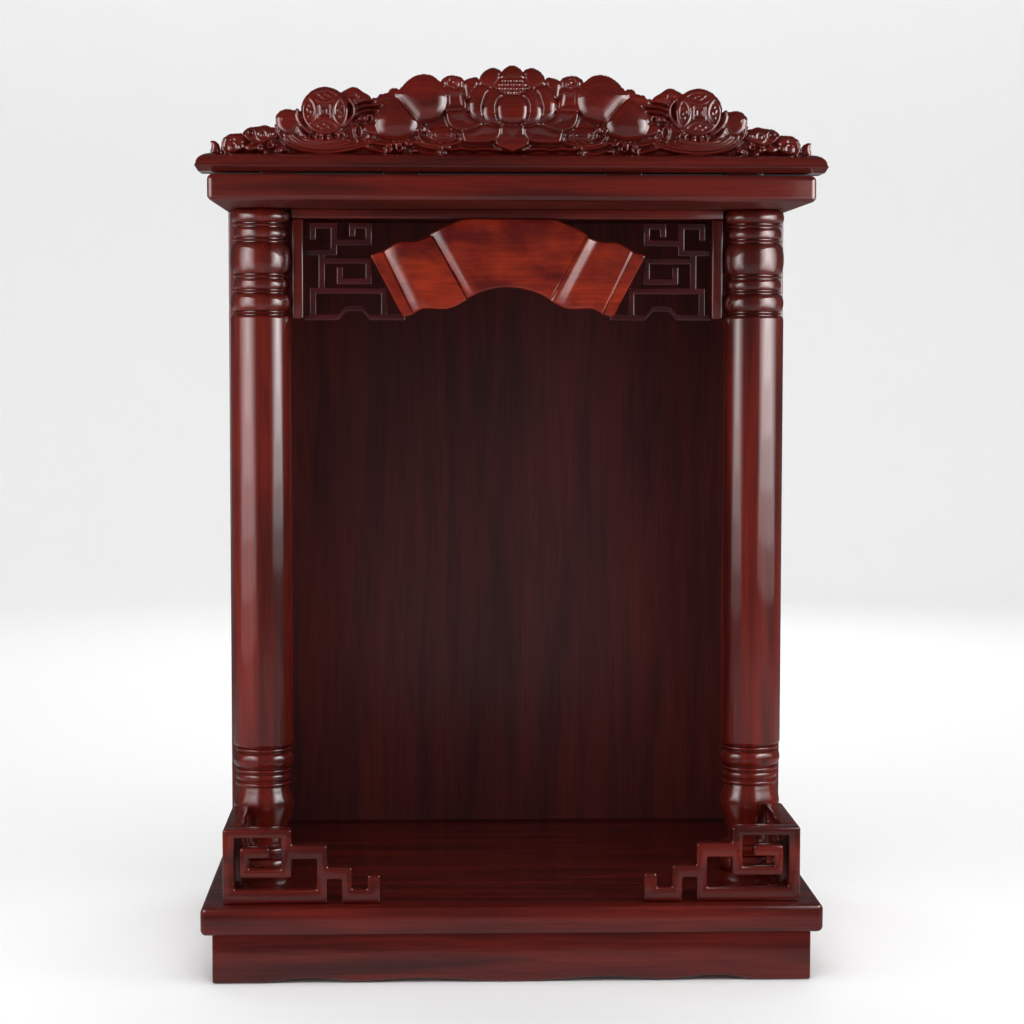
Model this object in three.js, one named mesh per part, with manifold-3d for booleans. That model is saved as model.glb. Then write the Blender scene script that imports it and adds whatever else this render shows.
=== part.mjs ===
// Household altar cabinet in lacquered hardwood: an open-fronted case on a low plinth, with turned columns,
// a pierced frieze, key-fret fences on the front corners and a carved crest on the crown board.
// Millimetres. X runs to the right, Y to the back and Z up. The origin is on the floor, under the middle of
// the base board, and the front faces -Y.
import * as THREE from 'three';
import { mergeVertices } from 'three/addons/utils/BufferGeometryUtils.js';
import Module from 'manifold-3d';

const wasm = await Module();
wasm.setup();

// Fits: a glue line between seated boards, and the clearance round turned or cut neighbours
const GLUE_LINE = 0.1;
const FIT_GAP = 0.3;

// Case
const CASE_WIDTH = 455;
const CASE_HEIGHT = 539.5;
const CASE_BACK_SETBACK = 8;
const PORCH_DEPTH = 160;
const SIDE_THICKNESS = 18;
const BACK_THICKNESS = 12;
const COLUMN_INSET = 28;

// Base board and plinth
const BASE_OVERHANG = 12.5;
const BASE_DEPTH = 360;
const BASE_THICKNESS = 22;
const BOARD_EDGE_ROUND = 4.5;
const PLINTH_HEIGHT = 38.5;
const PLINTH_SETBACK = 8.5;
const PLINTH_THICKNESS = 16;
const PLINTH_WAVE = 3.6;
const PLINTH_FOOT = 34;

// Crown board
const CROWN_OVERHANG = 5.1;
const CROWN_THICKNESS = 20.5;
const CROWN_FRONT_SETBACK = 20;
const CROWN_BACK_OVERHANG = 4;

// Columns, turned from one stock
const COLUMN_RADIUS = 24.6;
const COLUMN_GROOVE_DEPTH = 4.2;
const COLUMN_SMALL_BEAD_CUT = 2.2;
const COLUMN_SIDES = 16;
const VASE_HEIGHT = 46;
const VASE_WAIST_CUT = 7;
const VASE_NECK_CUT = 3.6;
const SHAFT_SHOULDER = 3;

// Frieze frame and its fretwork
const FRIEZE_DROP = 88.3;
const FRIEZE_RAIL_HEIGHT = 7.5;
const FRIEZE_STILE_WIDTH = 9.3;
const FRIEZE_THICKNESS = 20;
const FRET_BAR = 5;
const FRET_THICKNESS = 7;
const FRET_BUMP_RISE = 7.3;

// Fan plaque
const FAN_THICKNESS = 13;
const FAN_EDGE_THICKNESS = 7;
const FAN_PANEL_SWELL = 5;

// Corner fences
const FENCE_HEIGHT = 58.2;
const FENCE_SIDE_SETBACK = 16.5;
const FENCE_FRONT_SETBACK = 12;
const FENCE_THICKNESS = 14;
const FENCE_BAR = 8;
const FENCE_POST = 9;
const FENCE_TOP_RAIL = 6.8;
const FENCE_INNER_BAR = 7;
const FENCE_FOOT_BAR = 11;
const FENCE_SIDE_END_GAP = 22.7;

// Crest: thin blocks, a moulded plank and the carving
const BLOCK_WIDTH = 28;
const BLOCK_HEIGHT = 2;
const BLOCK_DEPTH = 24;
const BLOCK_INNER_X = 85;
const BLOCK_END_INSET = 54;
const PLANK_OVERHANG = 9.9;
const PLANK_DEPTH = 34;
const PLANK_THICKNESS = 14.5;
const PLANK_SETBACK = 6;
const PLANK_FASCIA = 5.4;
const PLANK_OVOLO_WIDTH = 12.6;
const PLANK_FASCIA_ROUND = 1.2;
const PLANK_QUIRK = 0.4;
const CREST_END_SETBACK = 11;
const CREST_HEIGHT = 68;
const CREST_GROUND_THICKNESS = 9;
const CREST_STAND = 11;
const CREST_PLANK_MARGIN = 6;

// Widths, heights and faces that follow from those sizes
const BASE_WIDTH = CASE_WIDTH + 2 * BASE_OVERHANG;
const CROWN_WIDTH = CASE_WIDTH + 2 * CROWN_OVERHANG;
const PLANK_WIDTH = CROWN_WIDTH + 2 * PLANK_OVERHANG;
const BOARD_TOP = PLINTH_HEIGHT + GLUE_LINE + BASE_THICKNESS;
const CASE_BOTTOM = BOARD_TOP + GLUE_LINE;
const CASE_TOP = CASE_BOTTOM + CASE_HEIGHT;
const CROWN_BOTTOM = CASE_TOP + GLUE_LINE;
const CROWN_TOP = CROWN_BOTTOM + CROWN_THICKNESS;
const BLOCK_BOTTOM = CROWN_TOP + GLUE_LINE;
const PLANK_BOTTOM = BLOCK_BOTTOM + BLOCK_HEIGHT + GLUE_LINE;
const PLANK_TOP = PLANK_BOTTOM + PLANK_THICKNESS;
const CREST_BOTTOM = PLANK_TOP + GLUE_LINE;
const FRONT = -BASE_DEPTH / 2;
const CASE_FRONT = FRONT + PORCH_DEPTH;
const CASE_BACK = BASE_DEPTH / 2 - CASE_BACK_SETBACK;
const COLUMN_Y = CASE_FRONT - FIT_GAP - COLUMN_RADIUS;
const COLUMN_X = CASE_WIDTH / 2 - COLUMN_INSET;

// Finishes
const lacquer = new THREE.MeshStandardMaterial({ color: 0x561a16, roughness: 0.25, metalness: 0 });
const redLacquer = new THREE.MeshStandardMaterial({ color: 0x8c261a, roughness: 0.22, metalness: 0 });
const innerLacquer = new THREE.MeshStandardMaterial({ color: 0x2c1210, roughness: 0.35, metalness: 0 });

const cabinet = new THREE.Group();

// Adds one named piece to the cabinet
function addPiece(name, geometry, material, x = 0, y = 0, z = 0) {
  const mesh = new THREE.Mesh(geometry, material);
  mesh.name = name;
  mesh.position.set(x, y, z);
  cabinet.add(mesh);
}

// A closed triangle mesh as a solid that can be joined and cut
function solidOf(geometry) {
  const bare = geometry.index ? geometry.toNonIndexed() : geometry.clone();
  bare.deleteAttribute('normal');
  bare.deleteAttribute('uv');
  const merged = mergeVertices(bare, 1e-4);
  return new wasm.Manifold(new wasm.Mesh({
    numProp: 3,
    vertProperties: new Float32Array(merged.attributes.position.array),
    triVerts: new Uint32Array(merged.index.array),
  }));
}

// The solid's triangles as a geometry
function geometryOf(solid) {
  const { vertProperties, triVerts } = solid.getMesh();
  const geometry = new THREE.BufferGeometry();
  geometry.setAttribute('position', new THREE.BufferAttribute(new Float32Array(vertProperties), 3));
  geometry.setIndex(new THREE.BufferAttribute(new Uint32Array(triVerts), 1));
  geometry.computeVertexNormals();
  return geometry;
}

// Joins geometries into one solid body
function joined(geometries) {
  return geometries.map(solidOf).reduce((whole, solid) => whole.add(solid));
}

// The same shape on the other side of the cabinet, with its faces still pointing out
function mirrored(geometry) {
  const copy = geometry.index ? geometry.toNonIndexed() : geometry.clone();
  copy.deleteAttribute('normal');
  copy.deleteAttribute('uv');
  const position = copy.attributes.position;
  const corner = new THREE.Vector3();
  for (let i = 0; i < position.count; i += 3) {
    const corners = [0, 2, 1].map((k) => corner.fromBufferAttribute(position, i + k).clone());
    corners.forEach((c, k) => position.setXYZ(i + k, -c.x, c.y, c.z));
  }
  return mergeVertices(copy, 1e-4);
}

// A box between two corners
function block(x0, x1, y0, y1, z0, z1) {
  const geometry = new THREE.BoxGeometry(x1 - x0, y1 - y0, z1 - z0);
  return geometry.translate((x0 + x1) / 2, (y0 + y1) / 2, (z0 + z1) / 2);
}

// An outline drawn in X and Z, as a board with its back at backY and its front at frontY
function uprightBoard(outline, frontY, backY, steps = 6) {
  const shape = outline instanceof THREE.Shape ? outline : new THREE.Shape(outline);
  const geometry = new THREE.ExtrudeGeometry(shape,
    { depth: backY - frontY, bevelEnabled: false, curveSegments: steps });
  return geometry.rotateX(Math.PI / 2).translate(0, backY, 0);
}

// A flat-lying board with all its edges rounded, standing on z = 0
function roundedBoard(width, depth, thickness, round) {
  const corner = round * 1.3;
  const [w, d] = [width / 2, depth / 2];
  const shape = new THREE.Shape();
  shape.moveTo(-w + corner, -d);
  shape.lineTo(w - corner, -d);
  shape.absarc(w - corner, -d + corner, corner, -Math.PI / 2, 0);
  shape.lineTo(w, d - corner);
  shape.absarc(w - corner, d - corner, corner, 0, Math.PI / 2);
  shape.lineTo(-w + corner, d);
  shape.absarc(-w + corner, d - corner, corner, Math.PI / 2, Math.PI);
  shape.lineTo(-w, -d + corner);
  shape.absarc(-w + corner, -d + corner, corner, Math.PI, Math.PI * 1.5);
  const geometry = new THREE.ExtrudeGeometry(shape, {
    depth: thickness - 2 * round,
    bevelEnabled: true,
    bevelThickness: round,
    bevelSize: round,
    bevelOffset: -round,
    bevelSegments: 2,
    curveSegments: 3,
  });
  return geometry.translate(0, 0, round);
}

// A strip of bar of one width along a line between two points in X and Z, square past both ends
function stroke(from, to, width, frontY, backY) {
  const along = new THREE.Vector2().subVectors(to, from).normalize().multiplyScalar(width / 2);
  const across = new THREE.Vector2(-along.y, along.x);
  const start = from.clone().sub(along);
  const end = to.clone().add(along);
  const outline = [
    start.clone().sub(across), end.clone().sub(across),
    end.clone().add(across), start.clone().add(across),
  ];
  return uprightBoard(outline, frontY, backY);
}

// Base board

addPiece('base_board', roundedBoard(BASE_WIDTH, BASE_DEPTH, BASE_THICKNESS, BOARD_EDGE_ROUND), lacquer,
  0, 0, PLINTH_HEIGHT + GLUE_LINE);

// Plinth: four boards on their edges, with flat feet at the ends and a low wave between them
const plinthWave = [[-1, 0], [-0.8, 1], [-0.59, 0.28], [-0.39, 0.85], [0, 0], [0.39, 0.85], [0.59, 0.28],
  [0.8, 1], [1, 0]];

function plinthBoard(length) {
  const half = length / 2;
  const span = half - PLINTH_FOOT;
  const wave = new THREE.SplineCurve(
    plinthWave.map(([x, lift]) => new THREE.Vector2(span * x, PLINTH_WAVE * lift)));
  const outline = [
    new THREE.Vector2(-half, 0),
    ...wave.getPoints(32),
    new THREE.Vector2(half, 0),
    new THREE.Vector2(half, PLINTH_HEIGHT),
    new THREE.Vector2(-half, PLINTH_HEIGHT),
  ];
  return uprightBoard(outline, -PLINTH_THICKNESS / 2, PLINTH_THICKNESS / 2);
}

const plinthWidth = BASE_WIDTH - 2 * PLINTH_SETBACK;
const plinthDepth = BASE_DEPTH - 2 * PLINTH_SETBACK;
const plinthMiddleY = plinthDepth / 2 - PLINTH_THICKNESS / 2;
const plinthMiddleX = plinthWidth / 2 - PLINTH_THICKNESS / 2;
const plinthReturn = plinthDepth - 2 * PLINTH_THICKNESS - 2 * GLUE_LINE;
addPiece('plinth_front', plinthBoard(plinthWidth), lacquer, 0, -plinthMiddleY);
addPiece('plinth_back', plinthBoard(plinthWidth), lacquer, 0, plinthMiddleY);
addPiece('plinth_left', plinthBoard(plinthReturn).rotateZ(Math.PI / 2), lacquer, -plinthMiddleX);
addPiece('plinth_right', plinthBoard(plinthReturn).rotateZ(Math.PI / 2), lacquer, plinthMiddleX);

// Case: two side walls with the rear wall between them
const wallDepth = CASE_BACK - CASE_FRONT;
const sideWall = new THREE.BoxGeometry(SIDE_THICKNESS, wallDepth, CASE_HEIGHT);
const sideWallX = CASE_WIDTH / 2 - SIDE_THICKNESS / 2;
const caseMiddleZ = CASE_BOTTOM + CASE_HEIGHT / 2;
addPiece('side_panel_left', sideWall, lacquer, -sideWallX, CASE_FRONT + wallDepth / 2, caseMiddleZ);
addPiece('side_panel_right', sideWall, lacquer, sideWallX, CASE_FRONT + wallDepth / 2, caseMiddleZ);
const backWidth = CASE_WIDTH - 2 * SIDE_THICKNESS - 2 * GLUE_LINE;
addPiece('back_panel', new THREE.BoxGeometry(backWidth, BACK_THICKNESS, CASE_HEIGHT), innerLacquer,
  0, CASE_BACK - BACK_THICKNESS / 2, caseMiddleZ);

// Crown board
const crownFront = FRONT + CROWN_FRONT_SETBACK;
const crownBack = CASE_BACK + CROWN_BACK_OVERHANG;
const crownDepth = crownBack - crownFront;
addPiece('crown_board', roundedBoard(CROWN_WIDTH, crownDepth, CROWN_THICKNESS, BOARD_EDGE_ROUND), lacquer,
  0, (crownFront + crownBack) / 2, CROWN_BOTTOM);

// Turned columns. The turnings are listed from the crown down: each is a bead of a height, with a
// narrow groove under it.
const topTurnings = [
  { height: 11.1, cut: 0, fillet: 3.5 },
  { height: 8.9, cut: COLUMN_SMALL_BEAD_CUT, fillet: 3.2 },
  { height: 25.4, cut: 0, fillet: 3.6 },
  { height: 8.8, cut: COLUMN_SMALL_BEAD_CUT, fillet: 2.9 },
  { height: 14.5, cut: 0, fillet: 3 },
];
// These are listed from the foot up.
const footTurnings = [
  { height: 13, cut: 0, fillet: 3 },
  { height: 6, cut: COLUMN_SMALL_BEAD_CUT, fillet: 3 },
];
const ankleTurnings = [
  { height: 6, cut: COLUMN_SMALL_BEAD_CUT + 0.6, fillet: 5.4 },
  { height: 12.3, cut: 0, fillet: 4.8 },
];

function columnProfile() {
  const groove = COLUMN_RADIUS - COLUMN_GROOVE_DEPTH;
  const points = [new THREE.Vector2(0, 0), new THREE.Vector2(groove, 0)];
  let z = 0;
  const bead = (height, cut) => {
    const swell = COLUMN_GROOVE_DEPTH - cut;
    for (const angle of [22, 90, 158]) {
      const a = THREE.MathUtils.degToRad(angle);
      points.push(new THREE.Vector2(groove + swell * Math.sin(a) ** 0.6, z + height * (1 - Math.cos(a)) / 2));
    }
    z += height;
  };
  const fillet = (height) => {
    points.push(new THREE.Vector2(groove, z));
    points.push(new THREE.Vector2(groove, z + height));
    z += height;
  };
  for (const turning of footTurnings) {
    bead(turning.height, turning.cut);
    fillet(turning.fillet);
  }
  // The vase swells from a waist to the full radius, then draws in to its neck
  const waist = COLUMN_RADIUS - VASE_WAIST_CUT;
  for (const t of [0.05, 0.25, 0.45, 0.62, 0.76, 0.9]) {
    const rise = THREE.MathUtils.smoothstep(t, 0, 0.7);
    const fall = THREE.MathUtils.smoothstep(t, 0.7, 1);
    const radius = waist + (COLUMN_RADIUS - waist) * rise - VASE_NECK_CUT * fall;
    points.push(new THREE.Vector2(radius, z + VASE_HEIGHT * t));
  }
  z += VASE_HEIGHT;
  for (const turning of ankleTurnings) {
    fillet(turning.fillet);
    bead(turning.height, turning.cut);
  }
  fillet(ankleTurnings[1].fillet);
  const headHeight = topTurnings.reduce((sum, turning) => sum + turning.height + turning.fillet, 0);
  const shaftTop = CASE_HEIGHT - GLUE_LINE - headHeight - FIT_GAP;
  for (const [end, inward] of [[z, 1], [shaftTop, -1]]) {
    const round = [20, 50, 90].map((angle) => THREE.MathUtils.degToRad(angle));
    const corner = round.map((a) => new THREE.Vector2(
      COLUMN_RADIUS - SHAFT_SHOULDER * (1 - Math.sin(a)), end + inward * SHAFT_SHOULDER * (1 - Math.cos(a))));
    points.push(...(inward > 0 ? corner : corner.reverse()));
  }
  z = shaftTop;
  for (const turning of topTurnings.toReversed()) {
    fillet(turning.fillet);
    bead(turning.height, turning.cut);
  }
  points.push(new THREE.Vector2(groove, z + FIT_GAP));
  points.push(new THREE.Vector2(0, z + FIT_GAP));
  return points;
}

const column = new THREE.LatheGeometry(columnProfile(), COLUMN_SIDES).rotateX(Math.PI / 2);
addPiece('column_left', column, lacquer, -COLUMN_X, COLUMN_Y, CASE_BOTTOM);
addPiece('column_right', column, lacquer, COLUMN_X, COLUMN_Y, CASE_BOTTOM);

// Frieze frame: a rail under the crown board and a stile beside each column
const friezeY = COLUMN_Y + 5;
const friezeHalf = COLUMN_X - COLUMN_RADIUS - FIT_GAP;
const railBottom = CASE_TOP - FRIEZE_RAIL_HEIGHT;
const stileInner = friezeHalf - FRIEZE_STILE_WIDTH;
const friezeBottom = CASE_TOP - FRIEZE_DROP;
const stileTop = railBottom - GLUE_LINE;
addPiece('frieze_rail', new THREE.BoxGeometry(2 * friezeHalf, FRIEZE_THICKNESS, FRIEZE_RAIL_HEIGHT),
  lacquer, 0, friezeY, railBottom + FRIEZE_RAIL_HEIGHT / 2);
const stile = new THREE.BoxGeometry(FRIEZE_STILE_WIDTH, FRIEZE_THICKNESS, stileTop - friezeBottom);
const stileX = (friezeHalf + stileInner) / 2;
addPiece('frieze_stile_left', stile, lacquer, -stileX, friezeY, (stileTop + friezeBottom) / 2);
addPiece('frieze_stile_right', stile, lacquer, stileX, friezeY, (stileTop + friezeBottom) / 2);

// Fretwork: bars run between named lines, counted inwards from the stile and down from the rail
const fretColumn = { stile: 2.8, post: 7.4, inner: 14.6, step: 24.5, coil: 29.2, hook: 39.3, run: 52.6, tail: 65.1 };
const fretRow = { top: 5.5, hookEnd: 12, postEnd: 14.5, step: 19, arm: 27.1, coil: 33.6, coilEnd: 41, floor: 50.3, shelf: 57.8 };
const fretFoot = FRIEZE_DROP - FRIEZE_RAIL_HEIGHT - FRET_BAR / 2;
const fretBump = { start: 28, rise: 34, fall: 47.5, end: 53.5 };
const fretEnd = 79.5;

function fretwork() {
  const c = fretColumn;
  const r = fretRow;
  const bump = fretFoot - FRET_BUMP_RISE;
  const runs = [
    [[c.stile, r.arm], [c.step, r.arm], [c.step, r.top], [c.post, r.top], [c.post, r.postEnd]],
    [[c.step, r.step], [c.run, r.step], [c.run, r.top], [c.hook, r.top], [c.hook, r.hookEnd]],
    [[c.inner, r.arm], [c.inner, r.shelf]],
    [[c.inner, r.coil], [c.run, r.coil], [c.run, r.floor], [c.coil, r.floor], [c.coil, r.coilEnd]],
    [[c.post, fretFoot], [c.post, r.shelf], [c.tail, r.shelf], [c.tail, fretFoot]],
    [[c.stile, fretFoot], [fretBump.start, fretFoot], [fretBump.rise, bump],
      [fretBump.fall, bump], [fretBump.end, fretFoot], [fretEnd, fretFoot]],
  ];
  const place = ([inwards, down]) => new THREE.Vector2(stileInner - inwards, railBottom - down);
  const [front, back] = [friezeY - FRET_THICKNESS / 2, friezeY + FRET_THICKNESS / 2];
  const bars = runs.flatMap((run) => run.slice(1).map(
    (point, i) => stroke(place(run[i]), place(point), FRET_BAR, front, back)));
  return geometryOf(joined(bars));
}

const fret = fretwork();
addPiece('fretwork_right', fret, lacquer);
addPiece('fretwork_left', mirrored(fret), lacquer);

// Fan plaque: a middle panel and two side panels that swell forwards between creases, and a flat strip
// along each end. The middle panel is cut from a ring; every crease leans in towards the foot.
const FAN_OUTER_RADIUS = 124.7;
const FAN_INNER_RADIUS = 64.4;
const FAN_HALF_ANGLE = 30.8;
const FAN_CENTRE_DROP = 39;
const fanCentreZ = friezeBottom - FAN_CENTRE_DROP;
const fanSide = {
  top: [[62.4, 106], [74.5, 101.7], [88.4, 100.7], [100.9, 93.7]],
  foot: [[33.9, 54], [47.8, 47.4], [67.3, 47.4], [76.4, 43]],
};
const fanStrip = { top: [[100.9, 93.7], [111.2, 90.4]], foot: [[76.4, 43], [84.6, 40.4]] };

// A closed body through a row of rings that all have the same number of corners
function loft(rings) {
  const position = [];
  const triangle = (a, b, c) => [a, b, c].forEach((corner) => position.push(corner.x, corner.y, corner.z));
  const count = rings[0].length;
  for (let i = 0; i + 1 < rings.length; i += 1) {
    for (let k = 0; k < count; k += 1) {
      const next = (k + 1) % count;
      triangle(rings[i][k], rings[i][next], rings[i + 1][next]);
      triangle(rings[i][k], rings[i + 1][next], rings[i + 1][k]);
    }
  }
  const last = rings.at(-1);
  for (let k = 1; k + 1 < count; k += 1) {
    triangle(rings[0][0], rings[0][k + 1], rings[0][k]);
    triangle(last[0], last[k], last[k + 1]);
  }
  const geometry = new THREE.BufferGeometry();
  geometry.setAttribute('position', new THREE.Float32BufferAttribute(position, 3));
  const merged = mergeVertices(geometry, 1e-4);
  merged.computeVertexNormals();
  return merged;
}

// Stations along half of the plaque, from its middle outwards
function fanStations() {
  const stations = [];
  const swell = (t) => Math.sqrt(Math.max(0, 1 - (2 * t - 1) ** 2));
  const limit = railBottom - GLUE_LINE - fanCentreZ;
  const middleSteps = 7;
  for (let i = 0; i <= middleSteps; i += 1) {
    const angle = THREE.MathUtils.degToRad(FAN_HALF_ANGLE) * i / middleSteps;
    const [x, z] = [Math.sin(angle), Math.cos(angle)];
    const reach = Math.min(FAN_OUTER_RADIUS, limit / z);
    stations.push({
      top: [reach * x, reach * z],
      foot: [FAN_INNER_RADIUS * x, FAN_INNER_RADIUS * z],
      thickness: FAN_EDGE_THICKNESS + FAN_PANEL_SWELL * swell(0.5 + i / middleSteps / 2),
    });
  }
  const top = new THREE.SplineCurve(fanSide.top.map(([x, z]) => new THREE.Vector2(x, z)));
  const foot = new THREE.SplineCurve(fanSide.foot.map(([x, z]) => new THREE.Vector2(x, z)));
  const sideSteps = 8;
  for (let i = 1; i <= sideSteps; i += 1) {
    const t = i / sideSteps;
    stations.push({
      top: top.getPoint(t).toArray(),
      foot: foot.getPoint(t).toArray(),
      thickness: FAN_EDGE_THICKNESS + FAN_PANEL_SWELL * swell(t),
    });
  }
  stations.push({ top: fanStrip.top[1], foot: fanStrip.foot[1], thickness: FAN_EDGE_THICKNESS });
  return stations;
}

function fanPlaque() {
  const half = fanStations();
  const flip = ({ top, foot, thickness }) => ({ top: [-top[0], top[1]], foot: [-foot[0], foot[1]], thickness });
  const stations = [...half.slice(1).reverse().map(flip), ...half];
  const round = FAN_THICKNESS - FAN_EDGE_THICKNESS - FAN_PANEL_SWELL + 1.5;
  const rings = stations.map(({ top, foot, thickness }) => {
    const at = (t, y) => new THREE.Vector3(
      THREE.MathUtils.lerp(top[0], foot[0], t), y, THREE.MathUtils.lerp(top[1], foot[1], t));
    const front = -thickness - (FAN_THICKNESS - FAN_EDGE_THICKNESS - FAN_PANEL_SWELL);
    return [at(0, 0), at(0, front + round), at(0.05, front), at(0.95, front), at(1, front + round), at(1, 0)];
  });
  return loft(rings);
}

addPiece('fan_plaque', fanPlaque(), redLacquer,
  0, friezeY - FRET_THICKNESS / 2 - GLUE_LINE, fanCentreZ);

// Corner fences: bars between lines counted inwards from the outer corner and up from the base board.
// Each bar is [start, end, bottom, top].
const fenceCoil = { rail: 20, top: 43.7, underTop: 35.2, inner: 36.3, post: 13, side: { post: 16, link: 34 } };
const fenceStep = {
  post: 45, second: 72.5, secondTop: 45.7, third: 91.5, thirdTop: 28.3, thirdRail: 9.5,
  hook: 111.4, hookTop: 22.3, end: 121.4,
};

function frontFenceBars() {
  const top = FENCE_HEIGHT;
  const coil = fenceCoil;
  const step = fenceStep;
  return [
    [0, FENCE_POST, 0, top],
    [0, step.post + FENCE_BAR, top - FENCE_TOP_RAIL, top],
    [step.post, step.post + FENCE_BAR, coil.rail, top],
    [coil.post, step.post + FENCE_BAR, coil.rail, coil.rail + FENCE_INNER_BAR],
    [coil.post, coil.post + FENCE_INNER_BAR, coil.rail, coil.top],
    [coil.post, coil.inner, coil.underTop, coil.top],
    [0, step.second + FENCE_BAR, 0, FENCE_FOOT_BAR],
    [step.post, step.second + FENCE_BAR, step.secondTop - FENCE_FOOT_BAR, step.secondTop],
    [step.second, step.second + FENCE_BAR, 0, step.secondTop],
    [step.second, step.third + FENCE_BAR, step.thirdTop - step.thirdRail, step.thirdTop],
    [step.third, step.third + FENCE_BAR, 0, step.thirdTop],
    [step.third, step.end, 0, FENCE_FOOT_BAR],
    [step.hook, step.end, 0, step.hookTop],
  ];
}

function sideFenceBars(length) {
  const top = FENCE_HEIGHT;
  const coil = fenceCoil;
  const link = length - coil.side.link;
  return [
    [0, FENCE_POST, 0, top],
    [length - FENCE_POST, length, 0, top],
    [0, length, top - FENCE_TOP_RAIL, top],
    [0, length, 0, FENCE_FOOT_BAR],
    [link, link + FENCE_BAR, coil.rail, top],
    [coil.side.post, link + FENCE_BAR, coil.rail, coil.rail + FENCE_INNER_BAR],
    [coil.side.post, coil.side.post + FENCE_INNER_BAR, coil.rail, coil.top],
    [coil.side.post, link - FENCE_BAR, coil.underTop, coil.top],
    [link, length, coil.underTop, coil.top],
  ];
}

const fenceOuterX = BASE_WIDTH / 2 - FENCE_SIDE_SETBACK;
const fenceFrontY = FRONT + FENCE_FRONT_SETBACK;
const fenceBackY = fenceFrontY + FENCE_THICKNESS;
const fenceSideStart = fenceBackY + FIT_GAP;
const fenceSideLength = COLUMN_Y - FENCE_SIDE_END_GAP - fenceSideStart;
const frontFence = geometryOf(joined(frontFenceBars().map(([start, end, bottom, top]) => block(
  fenceOuterX - end, fenceOuterX - start, fenceFrontY, fenceBackY, CASE_BOTTOM + bottom, CASE_BOTTOM + top))));
const sideFence = geometryOf(joined(sideFenceBars(fenceSideLength).map(([start, end, bottom, top]) => block(
  fenceOuterX - FENCE_THICKNESS, fenceOuterX, fenceSideStart + start, fenceSideStart + end,
  CASE_BOTTOM + bottom, CASE_BOTTOM + top))));
addPiece('fence_front_right', frontFence, lacquer);
addPiece('fence_front_left', mirrored(frontFence), lacquer);
addPiece('fence_side_right', sideFence, lacquer);
addPiece('fence_side_left', mirrored(sideFence), lacquer);

// Crest blocks and the moulded plank they carry
const plankY = FRONT + CROWN_FRONT_SETBACK + PLANK_SETBACK + PLANK_DEPTH / 2;
const blockShape = new THREE.BoxGeometry(BLOCK_WIDTH, BLOCK_DEPTH, BLOCK_HEIGHT);
const blockOuterX = CROWN_WIDTH / 2 - BLOCK_END_INSET;
[-blockOuterX, -BLOCK_INNER_X, BLOCK_INNER_X, blockOuterX].forEach((x, i) => {
  addPiece(`crest_block_${i + 1}`, blockShape, lacquer, x, plankY, BLOCK_BOTTOM + BLOCK_HEIGHT / 2);
});

// The plank's fascia and quarter-round run along the front and both ends; its back is straight
function mouldedPlank() {
  const half = PLANK_WIDTH / 2;
  const levels = [[0, PLANK_FASCIA_ROUND], [PLANK_FASCIA_ROUND, 0], [PLANK_FASCIA, 0]];
  const rise = PLANK_THICKNESS - PLANK_FASCIA - PLANK_QUIRK;
  for (const angle of [0, 22, 44, 66, 90]) {
    const a = THREE.MathUtils.degToRad(angle);
    levels.push([PLANK_FASCIA + PLANK_QUIRK + rise * Math.sin(a),
      PLANK_QUIRK + PLANK_OVOLO_WIDTH * (1 - Math.cos(a))]);
  }
  return loft(levels.map(([z, inset]) => [
    new THREE.Vector3(-half + inset, -PLANK_DEPTH / 2 + inset, z),
    new THREE.Vector3(half - inset, -PLANK_DEPTH / 2 + inset, z),
    new THREE.Vector3(half - inset, PLANK_DEPTH / 2, z),
    new THREE.Vector3(-half + inset, PLANK_DEPTH / 2, z),
  ]));
}

addPiece('crest_plank', mouldedPlank(), lacquer, 0, plankY, PLANK_BOTTOM);

// Crest carving: one board sawn to an outline, with its motifs standing forwards from a thin ground.
// Half of it is drawn, from the middle outwards and up from the plank, at the drawn size below.
const crestSpan = PLANK_WIDTH - 2 * CREST_END_SETBACK;
const crestDrawn = { halfSpan: 230, height: 67.4 };
const crestGround = [
  [0, 64], [14, 62], [25, 56.6], [40, 56.6], [52, 55.5], [60, 50], [75, 54], [88, 47.5], [97, 43.5],
  [106.5, 40.2], [112, 44], [122, 47], [131, 44], [142, 46], [156, 41], [162, 31], [172, 31], [177, 25],
  [179, 15], [190, 18], [200, 18], [206, 12.4], [213, 12], [218, 7], [222, 0],
];
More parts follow.
